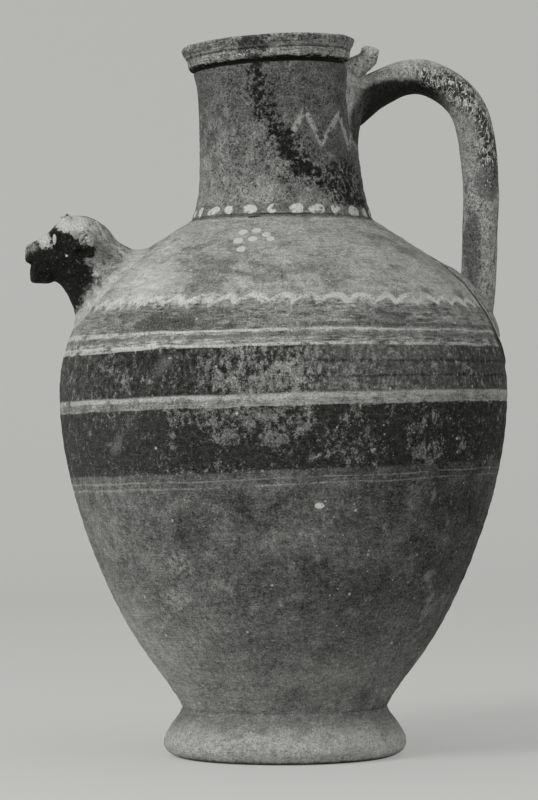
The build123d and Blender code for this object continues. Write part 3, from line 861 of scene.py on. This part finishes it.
# Thin dark lines in the upper band, and pale rings: heights, half width and strength
THIN_LINES = ((185.2, 186.2, 0.10), (192.2, 193.4, 0.08))
RINGS = ((207.9, 0.55, 0.85), (201.0, 0.75, 0.88), (139.2, 0.25, 0.45), (136.2, 0.3, 0.40))
# Wavy line: humps to the turn, height of a hump and height of the line
WAVES, WAVE_TALL, WAVE_Z, WAVE_LINE = 24, 3.2, 221, (219.6, 222.4)
# Worn and stained patches: place, sizes and strength
SCRAPED = (((-61, -66, 99), (11, 14, 9), 1.8), ((-60, -56, 82), (14, 16, 9), 1.8),
           ((-67, -43, 74), (14, 18, 10), 1.08))
RUBBED = (((-33, -103, 190), (34, 34, 22), 1.7), ((14, -108, 186), (56, 50, 26), 1.02))
SCUFFED = (((-34, -103, 163), (44, 30, 14), 1.9), ((48, -98, 158), (14, 14, 20), 1.2))
BLOTTED = (((-77, -72, 210.5), (13, 13, 6), 2.2), ((-62, -83, 211.5), (9, 9, 5), 2.2),
           ((30, -98, 214), (22, 24, 7), 1.76), ((-58, -84, 214), (34, 30, 9), 1.2))
DUSTY = (((-34, -104, 191), (24, 20, 15), 1.0), ((-4, -103, 214), (20, 20, 15), 1.0),
         ((-12, -109, 180), (15, 15, 22), 1.0), ((15, -108, 158), (18, 18, 15), 0.8),
         ((52, -96, 160), (16, 16, 22), 0.6))
# Marks that the photograph shows one by one: scratches with their ends, width and tone, then chips
SCRATCHES = (((-46.6, -92.0, 212.5), (-40.2, -96.0, 210.0), 1.0, 0.78),
             ((-68.2, -86.4, 177.8), (-64.3, -89.4, 177.3), 0.8, 0.76),
             ((-51.4, -97.6, 181.0), (-44.3, -100.7, 180.0), 0.8, 0.14),
             ((43.6, -76.2, 93.1), (56.7, -72.5, 96.2), 0.8, 0.60))
CHIPS = (((-1.3, -101.4, 125.8), (3.6, 4.0, 2.4)), ((-26.5, -72.3, 68.6), (2.0, 2.0, 2.2)),
         ((34.2, -74.2, 80.7), (1.6, 1.6, 1.6)), ((25.5, -98.6, 134.0), (2.4, 2.4, 1.8)),
         ((21.6, -98.9, 129.4), (1.8, 1.8, 1.8)))
# Rosette of dots by the head, and its dots' size
ROSETTE = ((-28.6, -53.2, 256.0), (-22.2, -54.6, 256.4), (-32.0, -59.4, 251.6), (-25.2, -61.0, 251.9),
           (-18.4, -60.0, 254.0), (-17.0, -63.5, 251.3), (-31.6, -66.4, 246.6), (-23.6, -67.6, 246.0),
           (-18.4, -66.4, 247.8))
ROSETTE_DOT = (3.0, 3.4, 3.4)
# Blotch that runs down the neck: its ends, and how much thinner than its middle each part is
RUNS = (((-19, -35.2, 336), (-16, -36.2, 318), 2.5), ((-16, -36.2, 318), (-8, -38.1, 304.6), 2.5),
        ((-6, -38.5, 302), (4, -39.7, 289), 0.0), ((4, -39.7, 289), (39, -21, 268.4), 1.0))
# Zigzag on the neck and the faint one left of it: corners and strength
ZIGZAGS = ((((-1.5, -39.5, 306.5), (4.5, -37.9, 318.4), (13.0, -37.1, 301.5), (23.4, -29.4, 317.3),
             (29.4, -25.1, 300.2), (34.0, -17.2, 317.0)), 0.9),
           (((-34.9, -19.3, 308.2), (-31.6, -24.4, 320.0), (-28.4, -28.5, 307.3)), 0.30))
# Dots round the foot of the neck: how many, the turn of the first, radius and height of the ring, sizes
DOTS, DOT_START, DOT_RING_R, DOT_RING_Z, DOT_HALF_WIDE, DOT_HALF_TALL = 25, 105.9, 44.0, 268.9, 3.2, 2.35
# Turn of the arch, along which the handle's paint has flaked, and the bend's middle
TURNED = ((74, -9, 339), (92, -9, 330), (103, -8, 308), (108, -5, 288))
BEND_X, BEND_Z = 72, 305
# Patches on the head: place and sizes, and the tone of the two blobs by the ear
BROW = ((-106.8, 6.0, 262.6), (7.4, 11.8, 6.0))
BLOBS = (((-105.4, 14.0, 258.0), (1.6, 4.0, 2.6), 0.62), ((-102.4, 15.6, 255.4), (1.7, 4.0, 2.6), 0.60))
SNOUT = ((-119.2, 4.0, 254.6), (4.4, 9.5, 4.6))
NOSE = ((-125.5, 0.0, 251.0), (5.2, 9.0, 4.4))
EYE, EYE_DOT = ((-115.7, 12.4, 255.4), (0.95, 4.0, 2.7)), ((-110.0, 14.6, 247.3), (0.6, 3.0, 0.6))
# Painted shade in the ear's hollow: place and sizes
EAR_HOLLOW_SHADE = ((-99.0, 17.0, 250.0), (3.0, 7.0, 3.4))

# Body: worn dark bands and pale lines under a pale shoulder with a wavy line
m = Paint("painted_body_clay")
fine, grit, coarse = m.grain(0.85, 2.4, 8)
wide, across = m.cloud(30, 7, 3), m.across
z = m.z - ((RING_LEVEL - m.z) * TILT_GROWS + RING_TILT) * m.x + m.cloud(38, 3, 2) * 0.12
streak, ridge = m.wheel(0.8, 8, 9.0), m.wheel(3.2, 9, 6.0)
edge = z + streak * 0.10 + grit * 0.08
texture = fine * 0.034 + grit * 0.020 + coarse * 0.014
# Sides of the jug as the camera sees them. Where a tone below is raised with leftward or lowered with
# rightward, that is painted light from the left and painted shade on the right
leftward, rightward = m.step(across, -35, -97), m.step(across, 25, 97)

# Lower body: a mottled wash, paler towards the foot; painted light makes it paler at the left, most of all
# low down, and painted shade darker at the right
lower = 0.315 + leftward * 0.075 + m.step(across, -45, -85) * m.step(m.z, 140, 110) * 0.04
lower = lower - rightward * 0.085 + texture + wide * 0.012 + streak * 0.010
lower = lower + m.step(m.z + coarse * 5 + wide * 5, 100, 34) * (0.11 + m.step(across, -10, -70) * 0.12)
lower = lower + m.cloud(14, 15, 4, (1.2, 1.2, 1)) * 0.016
# Pale bare patches, crowded towards the left, where they also stand for painted light
bare_and_lit = m.cloud(10, 12, 5, (1, 1, 1.5), 0.68) + leftward * 1.2 + m.step(m.z, 110, 60) * 0.4
lower = m.mix(m.step(bare_and_lit, 1.1, 2.9) * 0.5, lower, 0.56 + fine * 0.03)
scraped = m.step(m.cloud(2.8, 16, 5, rough=0.72) * 0.5 + m.patches(SCRAPED), 0.5, 2.4)
lower = m.mix(scraped * 0.75, lower, 0.56 + fine * 0.04)
washed = m.step(m.cloud(9, 17, 5, (1.6, 1.6, 1), 0.68), -0.8, 1.4) * m.band(m.z + coarse * 2.5, 26, 40, 7)
lower = m.mix(washed * 0.45, lower, 0.54 + texture) - m.near((8, -76, 78), (46, 60, 40)) * 0.045

# Darkest band, and the worn band over it
# Painted light and shade: the dark paint is paler at the left and darker at the right, and the band over it
# darker again at its far right edge
paint = 0.18 + leftward * 0.045 - rightward * 0.035 + fine * 0.020 + grit * 0.016 + streak * 0.008
tall = m.cloud(3.0, 13, 4, (1, 1, 3.0), 0.65)
worn = m.cloud(9, 14, 5, (1.3, 1.3, 1), 0.68)
upper = paint + 0.03 - m.band(across, -90, -48, 10) * 0.03 + m.step(across, 0, 30) * 0.13
upper = upper - m.step(across, 70, 95) * 0.06 + tall * 0.014 + grit * 0.012
rubbed = worn * 0.5 + m.patches(RUBBED) + tall * 0.5 + grit * 0.4 + fine * 0.25
upper = m.mix(m.step(rubbed, 0.2, 3.0) * 0.9, upper, 0.455 + texture)
for bottom, top, strength in THIN_LINES:
    upper = upper - m.band(edge, bottom, top, 0.5) * m.step(across, -10, 30) * strength
scuffed = worn * 0.7 + m.patches(SCUFFED) + tall * 0.4 + grit * 0.4 + fine * 0.25
dark = m.mix(m.step(scuffed, 0.6, 3.0) * 0.85, paint, 0.43 + texture)
m.grey = m.mix(m.above(edge, DARK_LOW, 0.6), lower, dark)
m.lay(m.above(edge, DARK_TOP, 0.7), upper)

# Shoulder, and the streaky zone and strip under it
# A painted highlight: a pool of light on the front left of the shoulder where the lamp falls, paler and less
# grainy, with fewer dark patches
painted_highlight = m.near((-74, -52, 232), (26, 34, 16))
# The shoulder's clay is paler towards its left and right edges: painted light
clay = 0.565 + leftward * 0.04 + rightward * 0.03 + texture * (0.9 - painted_highlight * 0.5) + painted_highlight * 0.06
clay = clay + streak * 0.016 + ridge * 0.014 + wide * 0.010
stain = m.cloud(10, 21, 5, (2.0, 2.0, 1), 0.66) + m.near((-36, -76, 236), (30, 34, 19)) * 2.4 - painted_highlight * 2.0
clay = m.mix(m.step(stain, 0.2, 2.6) * 0.75, clay, 0.40 + texture)
zone = 0.475 - m.band(across, -84, -25, 10) * 0.07 + streak * 0.05 + ridge * 0.036 + texture
blotted = ridge * 0.7 + streak * 0.3 + worn * 0.5 + grit * 0.3 + m.patches(BLOTTED) + rightward * 0.2
zone = m.mix(m.step(blotted, 0.7, 2.8) * 0.85, zone, 0.27 + fine * 0.03)
# At its far left edge the zone turns half way to the shoulder's pale clay: painted light
zone = m.mix(m.step(across, -84, -102) * 0.5, zone, clay)
line = m.band(z, 209.2, 210.9, 0.5) * m.step(across, 0, 18) * m.step(streak + grit, -1.5, 0.5)
zone = m.mix(line * 0.75, zone, 0.26)
# The strip is paler at the left and darker at the right: painted light and painted shade
strip = 0.495 + leftward * 0.02 + coarse * 0.02 + streak * 0.055 + ridge * 0.02 + texture - rightward * 0.05
strip = m.mix(m.band(edge, 204.6, 206.4, 0.5) * m.step(streak + grit, -1.0, 1.0) * 0.7, strip, 0.33)
m.lay(m.above(edge, UPPER_TOP, 0.5), strip)
m.lay(m.above(edge, STRIP_TOP, 0.6), zone)
m.lay(m.above(edge + grit * 0.6 + coarse * 0.7, ZONE_TOP, 1.5), clay)

# A thick faint wavy line, broken, clearer on the right
beat = m.math("SINE", m.turn * WAVES + m.cloud(16, 24, 2) * 0.16 - (z - WAVE_Z) * 0.14)
hump = z - abs(beat) * WAVE_TALL + m.cloud(4, 25, 3) * 0.12
solid = m.step(m.cloud(7, 26, 5, rough=0.68), -1.8, 0.0)
m.lay(m.band(hump, *WAVE_LINE, 0.7) * solid * (0.8 + rightward * 0.1), 0.74 + fine * 0.03)
m.lay(m.band(z, 218.6, 222.0, 1.2) * m.step(across, 30, -60) * solid * 0.4, 0.63)

# Pale rings, soft and uneven, fainter at the right as painted shade
gap = m.step(m.cloud(4.5, 27, 5, (3, 3, 1), 0.7), -2.2, 0.2)
fade = 1.0 - rightward * 0.2
ring_at = z + streak * 0.05 + m.cloud(16, 28, 2) * 0.06
for middle, half, strength in RINGS:
    ring = m.step(abs(ring_at - middle) - half * (0.85 + leftward * 0.9), 0.4, -0.3)
    m.lay(ring * gap * fade * strength, 0.70 + fine * 0.03)
# The stripe between the two dark bands: pale above, grey below, its pale part fainter at the right as painted
# shade
m.lay(m.band(edge, *STRIPE, 0.5) * 0.9, 0.525 - leftward * 0.05 + texture + streak * 0.03 + coarse * 0.015)
m.lay(m.band(ring_at, 176.2, 178.2, 0.7) * gap * (0.9 - rightward * 0.35), 0.66 + fine * 0.03)
m.lay(m.band(ring_at, 172.7, 173.2, 0.4) * gap * fade * 0.45, 0.60)

# Dust, flecks and pits
dusty = m.patches(DUSTY)
haze = m.cloud(6, 31, 6, (1, 1, 1.3), 0.74) * 0.9 + grit * 0.4 + dusty * 1.2
m.lay(m.step(haze, 1.0, 3.2) * m.step(dusty, 0.0, 0.3) * 0.5, 0.60 + fine * 0.05)
fleck = m.cloud(1.25, 33, 3, rough=0.7) + dusty * 0.9 + worn * 0.25 - m.step(m.z, 150, 120) * 0.35
m.lay(m.step(fleck, 1.9, 2.7) * 0.6, 0.60 + fine * 0.04)
spots = m.specks(9.0, 35, 0.35, 0.75) + m.specks(4.5, 36, 0.30, 0.45) * m.step(across, -60, 20)
m.lay(m.low(spots, 1.0) * 0.8, 0.70)
m.lay(m.bits(1.4, 34, 1.7, 2.6) * m.step(m.z, 60, 200) * 0.45, 0.22)

# Marks that the photograph shows one by one
smear = m.segment((-70.5, -84, 192.5), (-90.8, -59, 152)) + grit * 0.5 + tall * 0.7
m.lay(m.step(smear, 4.6, 0.6) * 0.45, 0.52 + fine * 0.04)
for a, b, width, tone in SCRATCHES:
    m.lay(m.step(m.segment(a, b) + grit * 0.12, width * 1.5, width * 0.6) * 0.85, tone)
for place, size in CHIPS:
    m.lay(m.step(m.near(place, size) * (1 + grit * 0.2), 0.15, 0.4) * 0.9, 0.78)

# Pale clay spread over the bands under the handle, with a raised pale edge and a dark line along it
pad_along = along_pad(m.x, m.z)
pad_side = m.y / (SPREAD_HALF - SPREAD_TAPER * m.high(m.low(pad_along, 40), -40))
spread = ((pad_along / SPREAD_HALF) * (pad_along / SPREAD_HALF) + pad_side * pad_side) ** 0.5
spread = spread + m.step(m.x, 0, -10) * 3 + coarse * 0.006
m.lay(m.step(spread, 1.005, 0.985), 0.46 + texture + grit * 0.02)
m.lay(m.band(spread, 0.88, 0.975, 0.02) * 0.8, 0.72 + fine * 0.03)
m.lay(m.band(spread, 1.0, 1.12, 0.02) * m.step(m.z, 216, 206) * 0.8, 0.18 + fine * 0.02)
m.lay(m.band(spread, 0.99, 1.02, 0.01) * 0.8, 0.18)

# Dark paint at the foot of the neck, and a rosette of pale dots
m.lay(m.above(m.z + grit * 0.3, 265.0, 0.6) * 0.85, 0.30 + texture)
rosette = 0.0
for place in ROSETTE:
    rosette = m.high(rosette, m.near(place, ROSETTE_DOT))
m.lay(m.step(rosette * (1 + grit * 0.12), 0.12, 0.42) * 0.85, 0.74)
m.lay(m.step(m.segment((-23.5, -41.5, 264.9), (-19.0, -43.0, 264.7)), 1.1, 0.4) * 0.85, 0.12)
m.finish(body, fine * 0.5 + grit * 0.5 + streak * 0.4, 0.10)

# Neck: worn dark paint, a black blotch, a pale zigzag and a dotted band at its foot
m = Paint("painted_neck_clay")
fine, grit, coarse = m.grain(0.85, 2.4, 8)
texture = fine * 0.038 + grit * 0.016 + coarse * 0.018 + m.wheel(1.0, 8, 6.0) * 0.008
pale = m.step((300 - m.z) * 0.03 - m.across * 0.014 + coarse * 0.12 + grit * 0.06, -0.3, 1.2)
m.grey = m.mix(pale, 0.345, 0.505) + texture
m.lay(m.step(m.cloud(1.5, 41, 5, rough=0.72) + pale * 0.6, 1.2, 2.8) * 0.4, 0.56 + fine * 0.03)
run = 100.0
for a, b, thinner in RUNS:
    run = m.low(run, m.segment(a, b) + thinner)
m.lay(m.step(run + coarse * 1.5 + grit * 1.6, 7.0, 2.4) * 0.88, 0.10 + fine * 0.03 + grit * 0.02)
low_right = m.near((28, -30, 281), (19, 18, 17))
solid = m.step(m.cloud(2.4, 44, 5, rough=0.72) + low_right * 1.3, 0.4, 1.4)
m.lay(solid * m.step(low_right, 0, 0.2) * 0.88, 0.12)
pit = m.step(m.cloud(1.6, 42, 3, rough=0.7) + m.step(run, 14, 4) * 0.9, 1.3, 2.2)
m.lay(pit * 0.7, 0.11)
chip = m.cloud(2.2, 43, 4, rough=0.7) + m.near((-15, -37, 307), (9, 12, 14)) * 2.2
chip = chip + m.near((26, -31, 281), (15, 14, 14)) * 1.3
m.lay(m.step(chip, 1.9, 3.0) * 0.55, 0.58)
for corners, strength in ZIGZAGS:
    stroke = m.step(m.stroke(corners) + grit * 0.15 + fine * 0.08, 2.1, 0.9)
    m.lay(stroke * m.step(grit + coarse, -2.2, -0.4) * strength, 0.60 + fine * 0.03)
m.lay(m.band(m.z + 0.012 * m.x + grit * 0.3, 265.0, 272.2, 0.7) * 0.6, 0.38 + texture)
beat = m.turn + math.radians(DOT_START) + m.cloud(16, 45, 1) * 0.012
beat = m.math("PINGPONG", beat, math.pi / DOTS)
dot_across = beat * DOT_RING_R / (DOT_HALF_WIDE + coarse * 0.3)
dot_up = (m.z + 0.008 * m.x - DOT_RING_Z + m.cloud(9, 46, 1) * 0.18) / DOT_HALF_TALL
spot = m.step(dot_across * dot_across + dot_up * dot_up + grit * 0.10 + fine * 0.06, 1.35, 0.8)
m.lay(spot * m.step(m.cloud(6, 47, 2), -2.4, -1.0) * 0.92, 0.76 + fine * 0.03)
m.finish(neck, fine * 0.5 + grit * 0.7 - pit, 0.14)

# Rim: worn pitted clay with dark blotches, and black painted shade in its undercut
m = Paint("rim_clay")
fine, grit, coarse = m.grain(0.85, 2.2, 6)
texture = fine * 0.045 + grit * 0.035 + coarse * 0.02
plane = m.z - m.x * math.tan(RIM_TILT) - NECK_TOP_Z - NECK_LEAN * math.tan(RIM_TILT)
worn_plane = plane + grit * 0.1
m.grey = 0.46 + texture + m.wheel(0.7, 8, 10.0) * 0.05
m.grey = m.grey + m.band(plane, 2.9, 6.4, 0.5) * 0.08 + m.step(m.across, 0, 35) * 0.05
m.lay(m.above(plane + grit * 0.3, 12.1, 0.7) * 0.7, 0.64 + texture)
blot = m.cloud(3.6, 51, 5, rough=0.7) + m.near((-20.5, -40.5, 350.5), (11, 14, 13)) * 3.4
m.lay(m.step(blot - m.band(plane, 2.9, 6.2, 0.6) * 0.3, 1.0, 2.8) * 0.75, 0.17 + fine * 0.03)
# Grooves: dark over the lower band, dark at its middle, pale under the upper band
m.lay(m.band(worn_plane, 6.7, 7.1, 0.3) * m.step(coarse, -1.6, 0.0) * 0.6, 0.22)
m.lay(m.band(worn_plane, 4.7, 4.9, 0.3) * m.step(m.across, 5, 30) * 0.35, 0.22)
m.lay(m.band(worn_plane, 7.7, 8.4, 0.3) * 0.35, 0.62)
pit = m.bits(1.5, 52, 1.1, 2.1)
m.lay(pit * 0.5, 0.14)
m.lay(m.bits(1.8, 53, 1.5, 2.4, 4) * 0.5, 0.62)
# Black painted shade in the undercut under the rim
m.lay(m.step(plane + grit * 0.25, 2.9, 1.9) * 0.95, 0.10)
m.finish(rim, fine * 0.5 + grit * 0.7 - pit * 1.2, 0.2)

# Foot: pale clay, darker at its joint with the body, with painted shade under its edge
m = Paint("foot_clay")
fine, grit, coarse = m.grain(0.85, 2.4, 8)
wide, streak = m.cloud(24, 7, 3), m.wheel(0.9, 8, 8.0)
texture = fine * 0.030 + grit * 0.020 + coarse * 0.014 + streak * 0.010
m.grey = 0.615 + m.step(m.across, 10, 55) * 0.02 + texture + wide * 0.012
joint = m.step(m.z + coarse * 1.2 + wide * 1.2 + grit * 0.5, 11.0, 23.0)
m.lay(joint * 0.8, 0.375 + texture)
m.lay(m.step(m.cloud(7, 62, 5, (1.6, 1.6, 1), 0.68), 0.8, 2.6) * 0.5, 0.36 + fine * 0.03)
m.lay(m.bits(1.5, 61, 1.6, 2.4) * 0.4, 0.26)
# Painted shade on the underside of the foot's edge, where it turns down to the floor
m.lay(m.step(m.z + grit * 0.2, 2.2, 0.4) * 0.7, 0.22)
m.lay(m.bits(3.0, 63, 1.6, 2.6, 4) * 0.5, 0.68)
m.finish(foot, fine * 0.5 + grit * 0.5 + streak * 0.4, 0.12)

# Handle: pale clay under dark paint that flakes, dark under the arch
m = Paint("handle_clay")
fine, grit, coarse = m.grain(0.85, 2.2, 7)
texture = fine * 0.040 + grit * 0.028 + coarse * 0.020 + m.cloud(1.5, 70, 4, (1, 1, 3.2), 0.68) * 0.014
m.grey = 0.59 + texture
peel = m.cloud(3.2, 71, 6, (1, 1, 2.0), 0.72) + coarse * 0.4 - m.near((92, 0, 316), (14, 40, 26)) * 0.8
m.lay(m.step(peel, 0.4, 2.2) * 0.65, 0.28 + fine * 0.04)
# Along the turn of the arch the paint has flaked to a pale net over dark clay
turned = m.step(m.stroke(TURNED) + coarse * 1.2 + grit * 0.6, 9.5, 5.5)
m.lay(turned * m.step(m.cloud(2.6, 75, 3, (1, 1, 1.6)), -1.6, -0.1), 0.25 + fine * 0.04)
vein = m.step(abs(m.cloud(3.0, 73, 2, (1, 1, 2.2), 0.55, 0.9)) + grit * 0.06, 0.55, 0.15)
m.lay(vein * turned * 0.92, 0.84 + fine * 0.03)
# Round the bend the outer edge is pale and the inner edge smooth
bend = ((m.x - BEND_X) * (m.x - BEND_X) + (m.z - BEND_Z) * (m.z - BEND_Z)) ** 0.5
m.lay(m.step(bend + grit * 0.5, 40.5, 44) * m.step(m.z, 272, 290) * 0.75, 0.66 + texture)
inner = m.step(bend + grit * 0.4, 29.5, 25.5) * m.step(m.x, 84, 93) * m.step(m.z, 270, 285)
m.lay(inner * 0.7, 0.58 + texture * 0.6)
shade = m.near((96, -8, 252), (5, 16, 24)) * (1 + grit * 0.3 + coarse * 0.2)
m.lay(m.step(shade, 0.05, 0.6) * 0.6, 0.24 + fine * 0.03)
pit = m.bits(1.4, 74, 1.3, 2.2)
m.lay(pit * 0.55, 0.17)
# Painted light that makes the top of the arch pale, black under the arch, and marks at the upper root and on
# the outside
m.lay(m.step(m.z + m.across * 0.02, 341, 347) * m.step(m.across, 100, 85) * 0.7, 0.66 + texture)
under = m.patches((((60, 0, 321.5), (31, 60, 18.5), 1.0), ((40, 0, 313), (14, 60, 14), 0.5)))
under = m.step(under * (1 + coarse * 0.15 + grit * 0.1), 0.0, 0.35) * m.step(m.x, 95, 70)
m.lay(under * 0.9, 0.09 + fine * 0.02)
m.lay(m.near((38, -17, 318), (8, 10, 24)) * 0.8, 0.34 + texture)
m.lay(m.step(m.near((35, -13, 337.5), (10, 11, 7)) * (1 + grit * 0.3), 0.05, 0.5) * 0.8, 0.66 + texture)
outside = m.near((104, -9, 286), (9, 12, 12)) * (1 + grit * 0.5)
m.lay(m.step(outside, 0.05, 0.6) * 0.65, 0.30 + grit * 0.05)
m.finish(handle, fine * 0.5 + grit * 0.7 - pit, 0.18)

# Lug: pale pitted clay
m = Paint("lug_clay")
fine, grit = m.grain(0.8, 2.0)
m.grey = 0.66 + fine * 0.04 + grit * 0.035
m.lay(m.step(m.cloud(1.9, 81, 3), 1.2, 2.0) * 0.7, 0.24)
m.lay(m.step(m.cloud(4.0, 82, 4), 0.6, 2.0) * 0.5, 0.36)
m.finish(lug, fine * 0.5 + grit * 0.7, 0.15)

# Head: dark paint over face and throat, white brow and eye, pale nose
m = Paint("spout_clay", 0.8)
fine, grit, coarse = m.grain(0.8, 2.2, 5)
outward = abs(m.y)
texture = fine * 0.035 + grit * 0.030 + coarse * 0.025
black = 0.11 + fine * 0.018 + grit * 0.012
black = m.mix(m.step(m.cloud(1.6, 91, 3), 1.9, 2.6) * 0.6, black, 0.42)
clay = m.mix(m.bits(2.4, 90, 0.6, 2.2, 5) * 0.65, 0.60 + texture + coarse * 0.02, 0.24)
stain = m.near((-94, -18, 250), (11, 16, 13)) * m.step(grit + coarse, -1.0, 1.4)
clay = m.mix(stain * 0.5, clay, 0.30 + fine * 0.03)
m.grey = m.mix(m.step(m.x + (m.z - 250) * 0.25 + coarse * 0.9 + grit * 0.7, -103.0, -98.0), black, clay)
# The fan of smoothed clay on the shoulder, with fine light and dark lines
off_x, off_z = m.x - float(root[0]), m.z - float(root[2])
fan_up = off_x * float(FAN_UP[0]) + off_z * float(FAN_UP[2])
fan_along = off_x * float(FAN_ALONG[0]) + off_z * float(FAN_ALONG[2])
lines = m.cloud(0.9, 92, 4, (4.0, 0.9, 4.0), 0.7)
spread = ((fan_along / FAN_HALF_LONG) * (fan_along / FAN_HALF_LONG)
          + (m.y / FAN_HALF_WIDE) * (m.y / FAN_HALF_WIDE))
inner = m.step(spread + coarse * 0.04, 0.85, 0.5)
fan = 0.66 + lines * 0.03 + texture * 0.6 - inner * 0.05
dark_lines = m.step(lines + grit * 0.4 + m.step(fan_up, 2, 6) * 1.2, -0.5, 1.3)
fan = m.mix(dark_lines * inner * 0.8, fan, 0.24)
m.lay(m.step(fan_up + m.step(fan_along, -11, -19) * 3.5 + coarse * 0.5 + grit * 0.5, 6.5, 3.2), fan)


def patch(place_and_sizes, ragged=1.0):
    """1 inside an ellipsoid on each side of the head, with a ragged edge."""
    edge = (grit * 0.22 + fine * 0.08) * ragged
    return m.step(m.within(*place_and_sizes, y=outward) + edge, 1.35, 0.75)


m.lay(patch(BROW, 0.6) * 0.97, 0.73 + texture * 0.4)
for place, sizes, tone in BLOBS:
    m.lay(patch((place, sizes)) * 0.85, tone + texture)
m.lay(patch(SNOUT), 0.68 + texture)
m.lay(patch(NOSE), m.mix(m.step(grit, -1.2, 0.8), 0.28, 0.60) + fine * 0.03)
m.lay(patch(EYE, 0.4), 0.70)
m.lay(patch(EYE_DOT, 0.3), 0.68)
# Painted shade in the hollow of the ear
m.lay(patch(EAR_HOLLOW_SHADE) * 0.9, 0.10)
m.finish(head, fine * 0.5 + grit * 0.6, 0.15)

# Floor: paper that sweeps up behind the jug, in metres
SWEEP_FRONT, SWEEP_BACK, SWEEP_R, SWEEP_TOP, SWEEP_HALF = -2.5, 1.6, 0.9, 4.0, 4.0
PAPER, PAPER_SEEN, SEEN_SHARE = (0.62, 0.625, 0.605, 1), (0.462, 0.466, 0.452, 1), 0.6
sweep = [(SWEEP_BACK + SWEEP_R * math.sin(a), SWEEP_R - SWEEP_R * math.cos(a))
         for a in np.linspace(0, math.pi / 2, 24)]
sweep = [(SWEEP_FRONT, 0.0)] + sweep + [(SWEEP_BACK + SWEEP_R, SWEEP_TOP)]
verts = [(x, y, height) for y, height in sweep for x in (-SWEEP_HALF, SWEEP_HALF)]
faces = [(2 * i, 2 * i + 1, 2 * i + 3, 2 * i + 2) for i in range(len(sweep) - 1)]
floor_mesh = bpy.data.meshes.new("floor")
floor_mesh.from_pydata(verts, [], faces)
floor_mesh.polygons.foreach_set("use_smooth", [True] * len(faces))
floor = bpy.data.objects.new("floor", floor_mesh)
bpy.context.scene.collection.objects.link(floor)
floor_paint = bpy.data.materials.new("floor_paper")
floor_paint.use_nodes = True
tree = floor_paint.node_tree
shader = tree.nodes["Principled BSDF"]
shader.inputs["Base Color"].default_value = PAPER
shader.inputs["Roughness"].default_value = 0.9
shader.inputs["Specular IOR Level"].default_value = 0.1
# What the camera sees of the paper is mostly its own even grey, so the sweep stays level behind the jug
even, ray, blend, camera_share = (tree.nodes.new("ShaderNode" + kind)
                                  for kind in ("Emission", "LightPath", "MixShader", "Math"))
even.inputs["Color"].default_value = PAPER_SEEN
camera_share.operation = "MULTIPLY"
camera_share.inputs[1].default_value = SEEN_SHARE
tree.links.new(ray.outputs["Is Camera Ray"], camera_share.inputs[0])
tree.links.new(camera_share.outputs[0], blend.inputs["Fac"])
tree.links.new(shader.outputs[0], blend.inputs[1])
tree.links.new(even.outputs[0], blend.inputs[2])
tree.links.new(blend.outputs[0], tree.nodes["Material Output"].inputs["Surface"])
floor_mesh.materials.append(floor_paint)

world = bpy.data.worlds.new("studio")
bpy.context.scene.world = world
world.use_nodes = True
world.node_tree.nodes["Background"].inputs["Color"].default_value = (1.0, 1.0, 0.985, 1)
world.node_tree.nodes["Background"].inputs["Strength"].default_value = 0.62


def aim(holder, target, roll=0.0):
    """Turn an object so that its -Z looks at a point and its +Y is up."""
    ahead = (Vector(target) - Vector(holder.location)).normalized()
    turn = ahead.to_track_quat("-Z", "Y").to_matrix() @ Matrix.Rotation(roll, 3, "Z")
    holder.rotation_euler = turn.to_euler()


def place_object(name, data, place):
    """A lamp or camera at a place in the scene."""
    holder = bpy.data.objects.new(name, data)
    bpy.context.scene.collection.objects.link(holder)
    holder.location = place
    return holder


# A large key lamp from the front left and a weak fill from the front right, in metres and watts
for name, place, target, size, power in (("key", (-1.5, -1.1, 1.25), (0, 0, 0.2), 1.0, 34),
                                         ("fill", (1.6, -1.6, 0.8), (0, 0, 0.18), 1.6, 6)):
    light = bpy.data.lights.new(name, "AREA")
    light.shape, light.size, light.energy = "DISK", size, power
    aim(place_object(name, light, place), target)

# Camera: 10 degrees round to the spout's side, 1.5 m away, with the photograph's scale and small roll
YAW, ROLL, DISTANCE, EYE_HEIGHT = math.radians(10), math.radians(-0.3), 1.5, 0.14925
SENSOR, FOCAL_PIXELS, PICTURE_TALL, PIXELS_PER_METRE = 24.0, 3000, 800, 2000
# The photograph's middle is 14 pixels left of the axis and 55 above the camera's height
MIDDLE_ASIDE, MIDDLE_UP = -14.3 / PIXELS_PER_METRE, 55 / PIXELS_PER_METRE
camera = place_object("camera", bpy.data.cameras.new("camera"),
                      (-DISTANCE * math.sin(YAW), -DISTANCE * math.cos(YAW), EYE_HEIGHT))
camera.data.sensor_fit = "VERTICAL"
camera.data.sensor_height = SENSOR
camera.data.lens = SENSOR * FOCAL_PIXELS / PICTURE_TALL
camera.data.clip_end = 20
aim(camera, (math.cos(YAW) * MIDDLE_ASIDE, -math.sin(YAW) * MIDDLE_ASIDE, EYE_HEIGHT + MIDDLE_UP), ROLL)
bpy.context.scene.camera = camera
bpy.context.scene.view_settings.view_transform = "Standard"
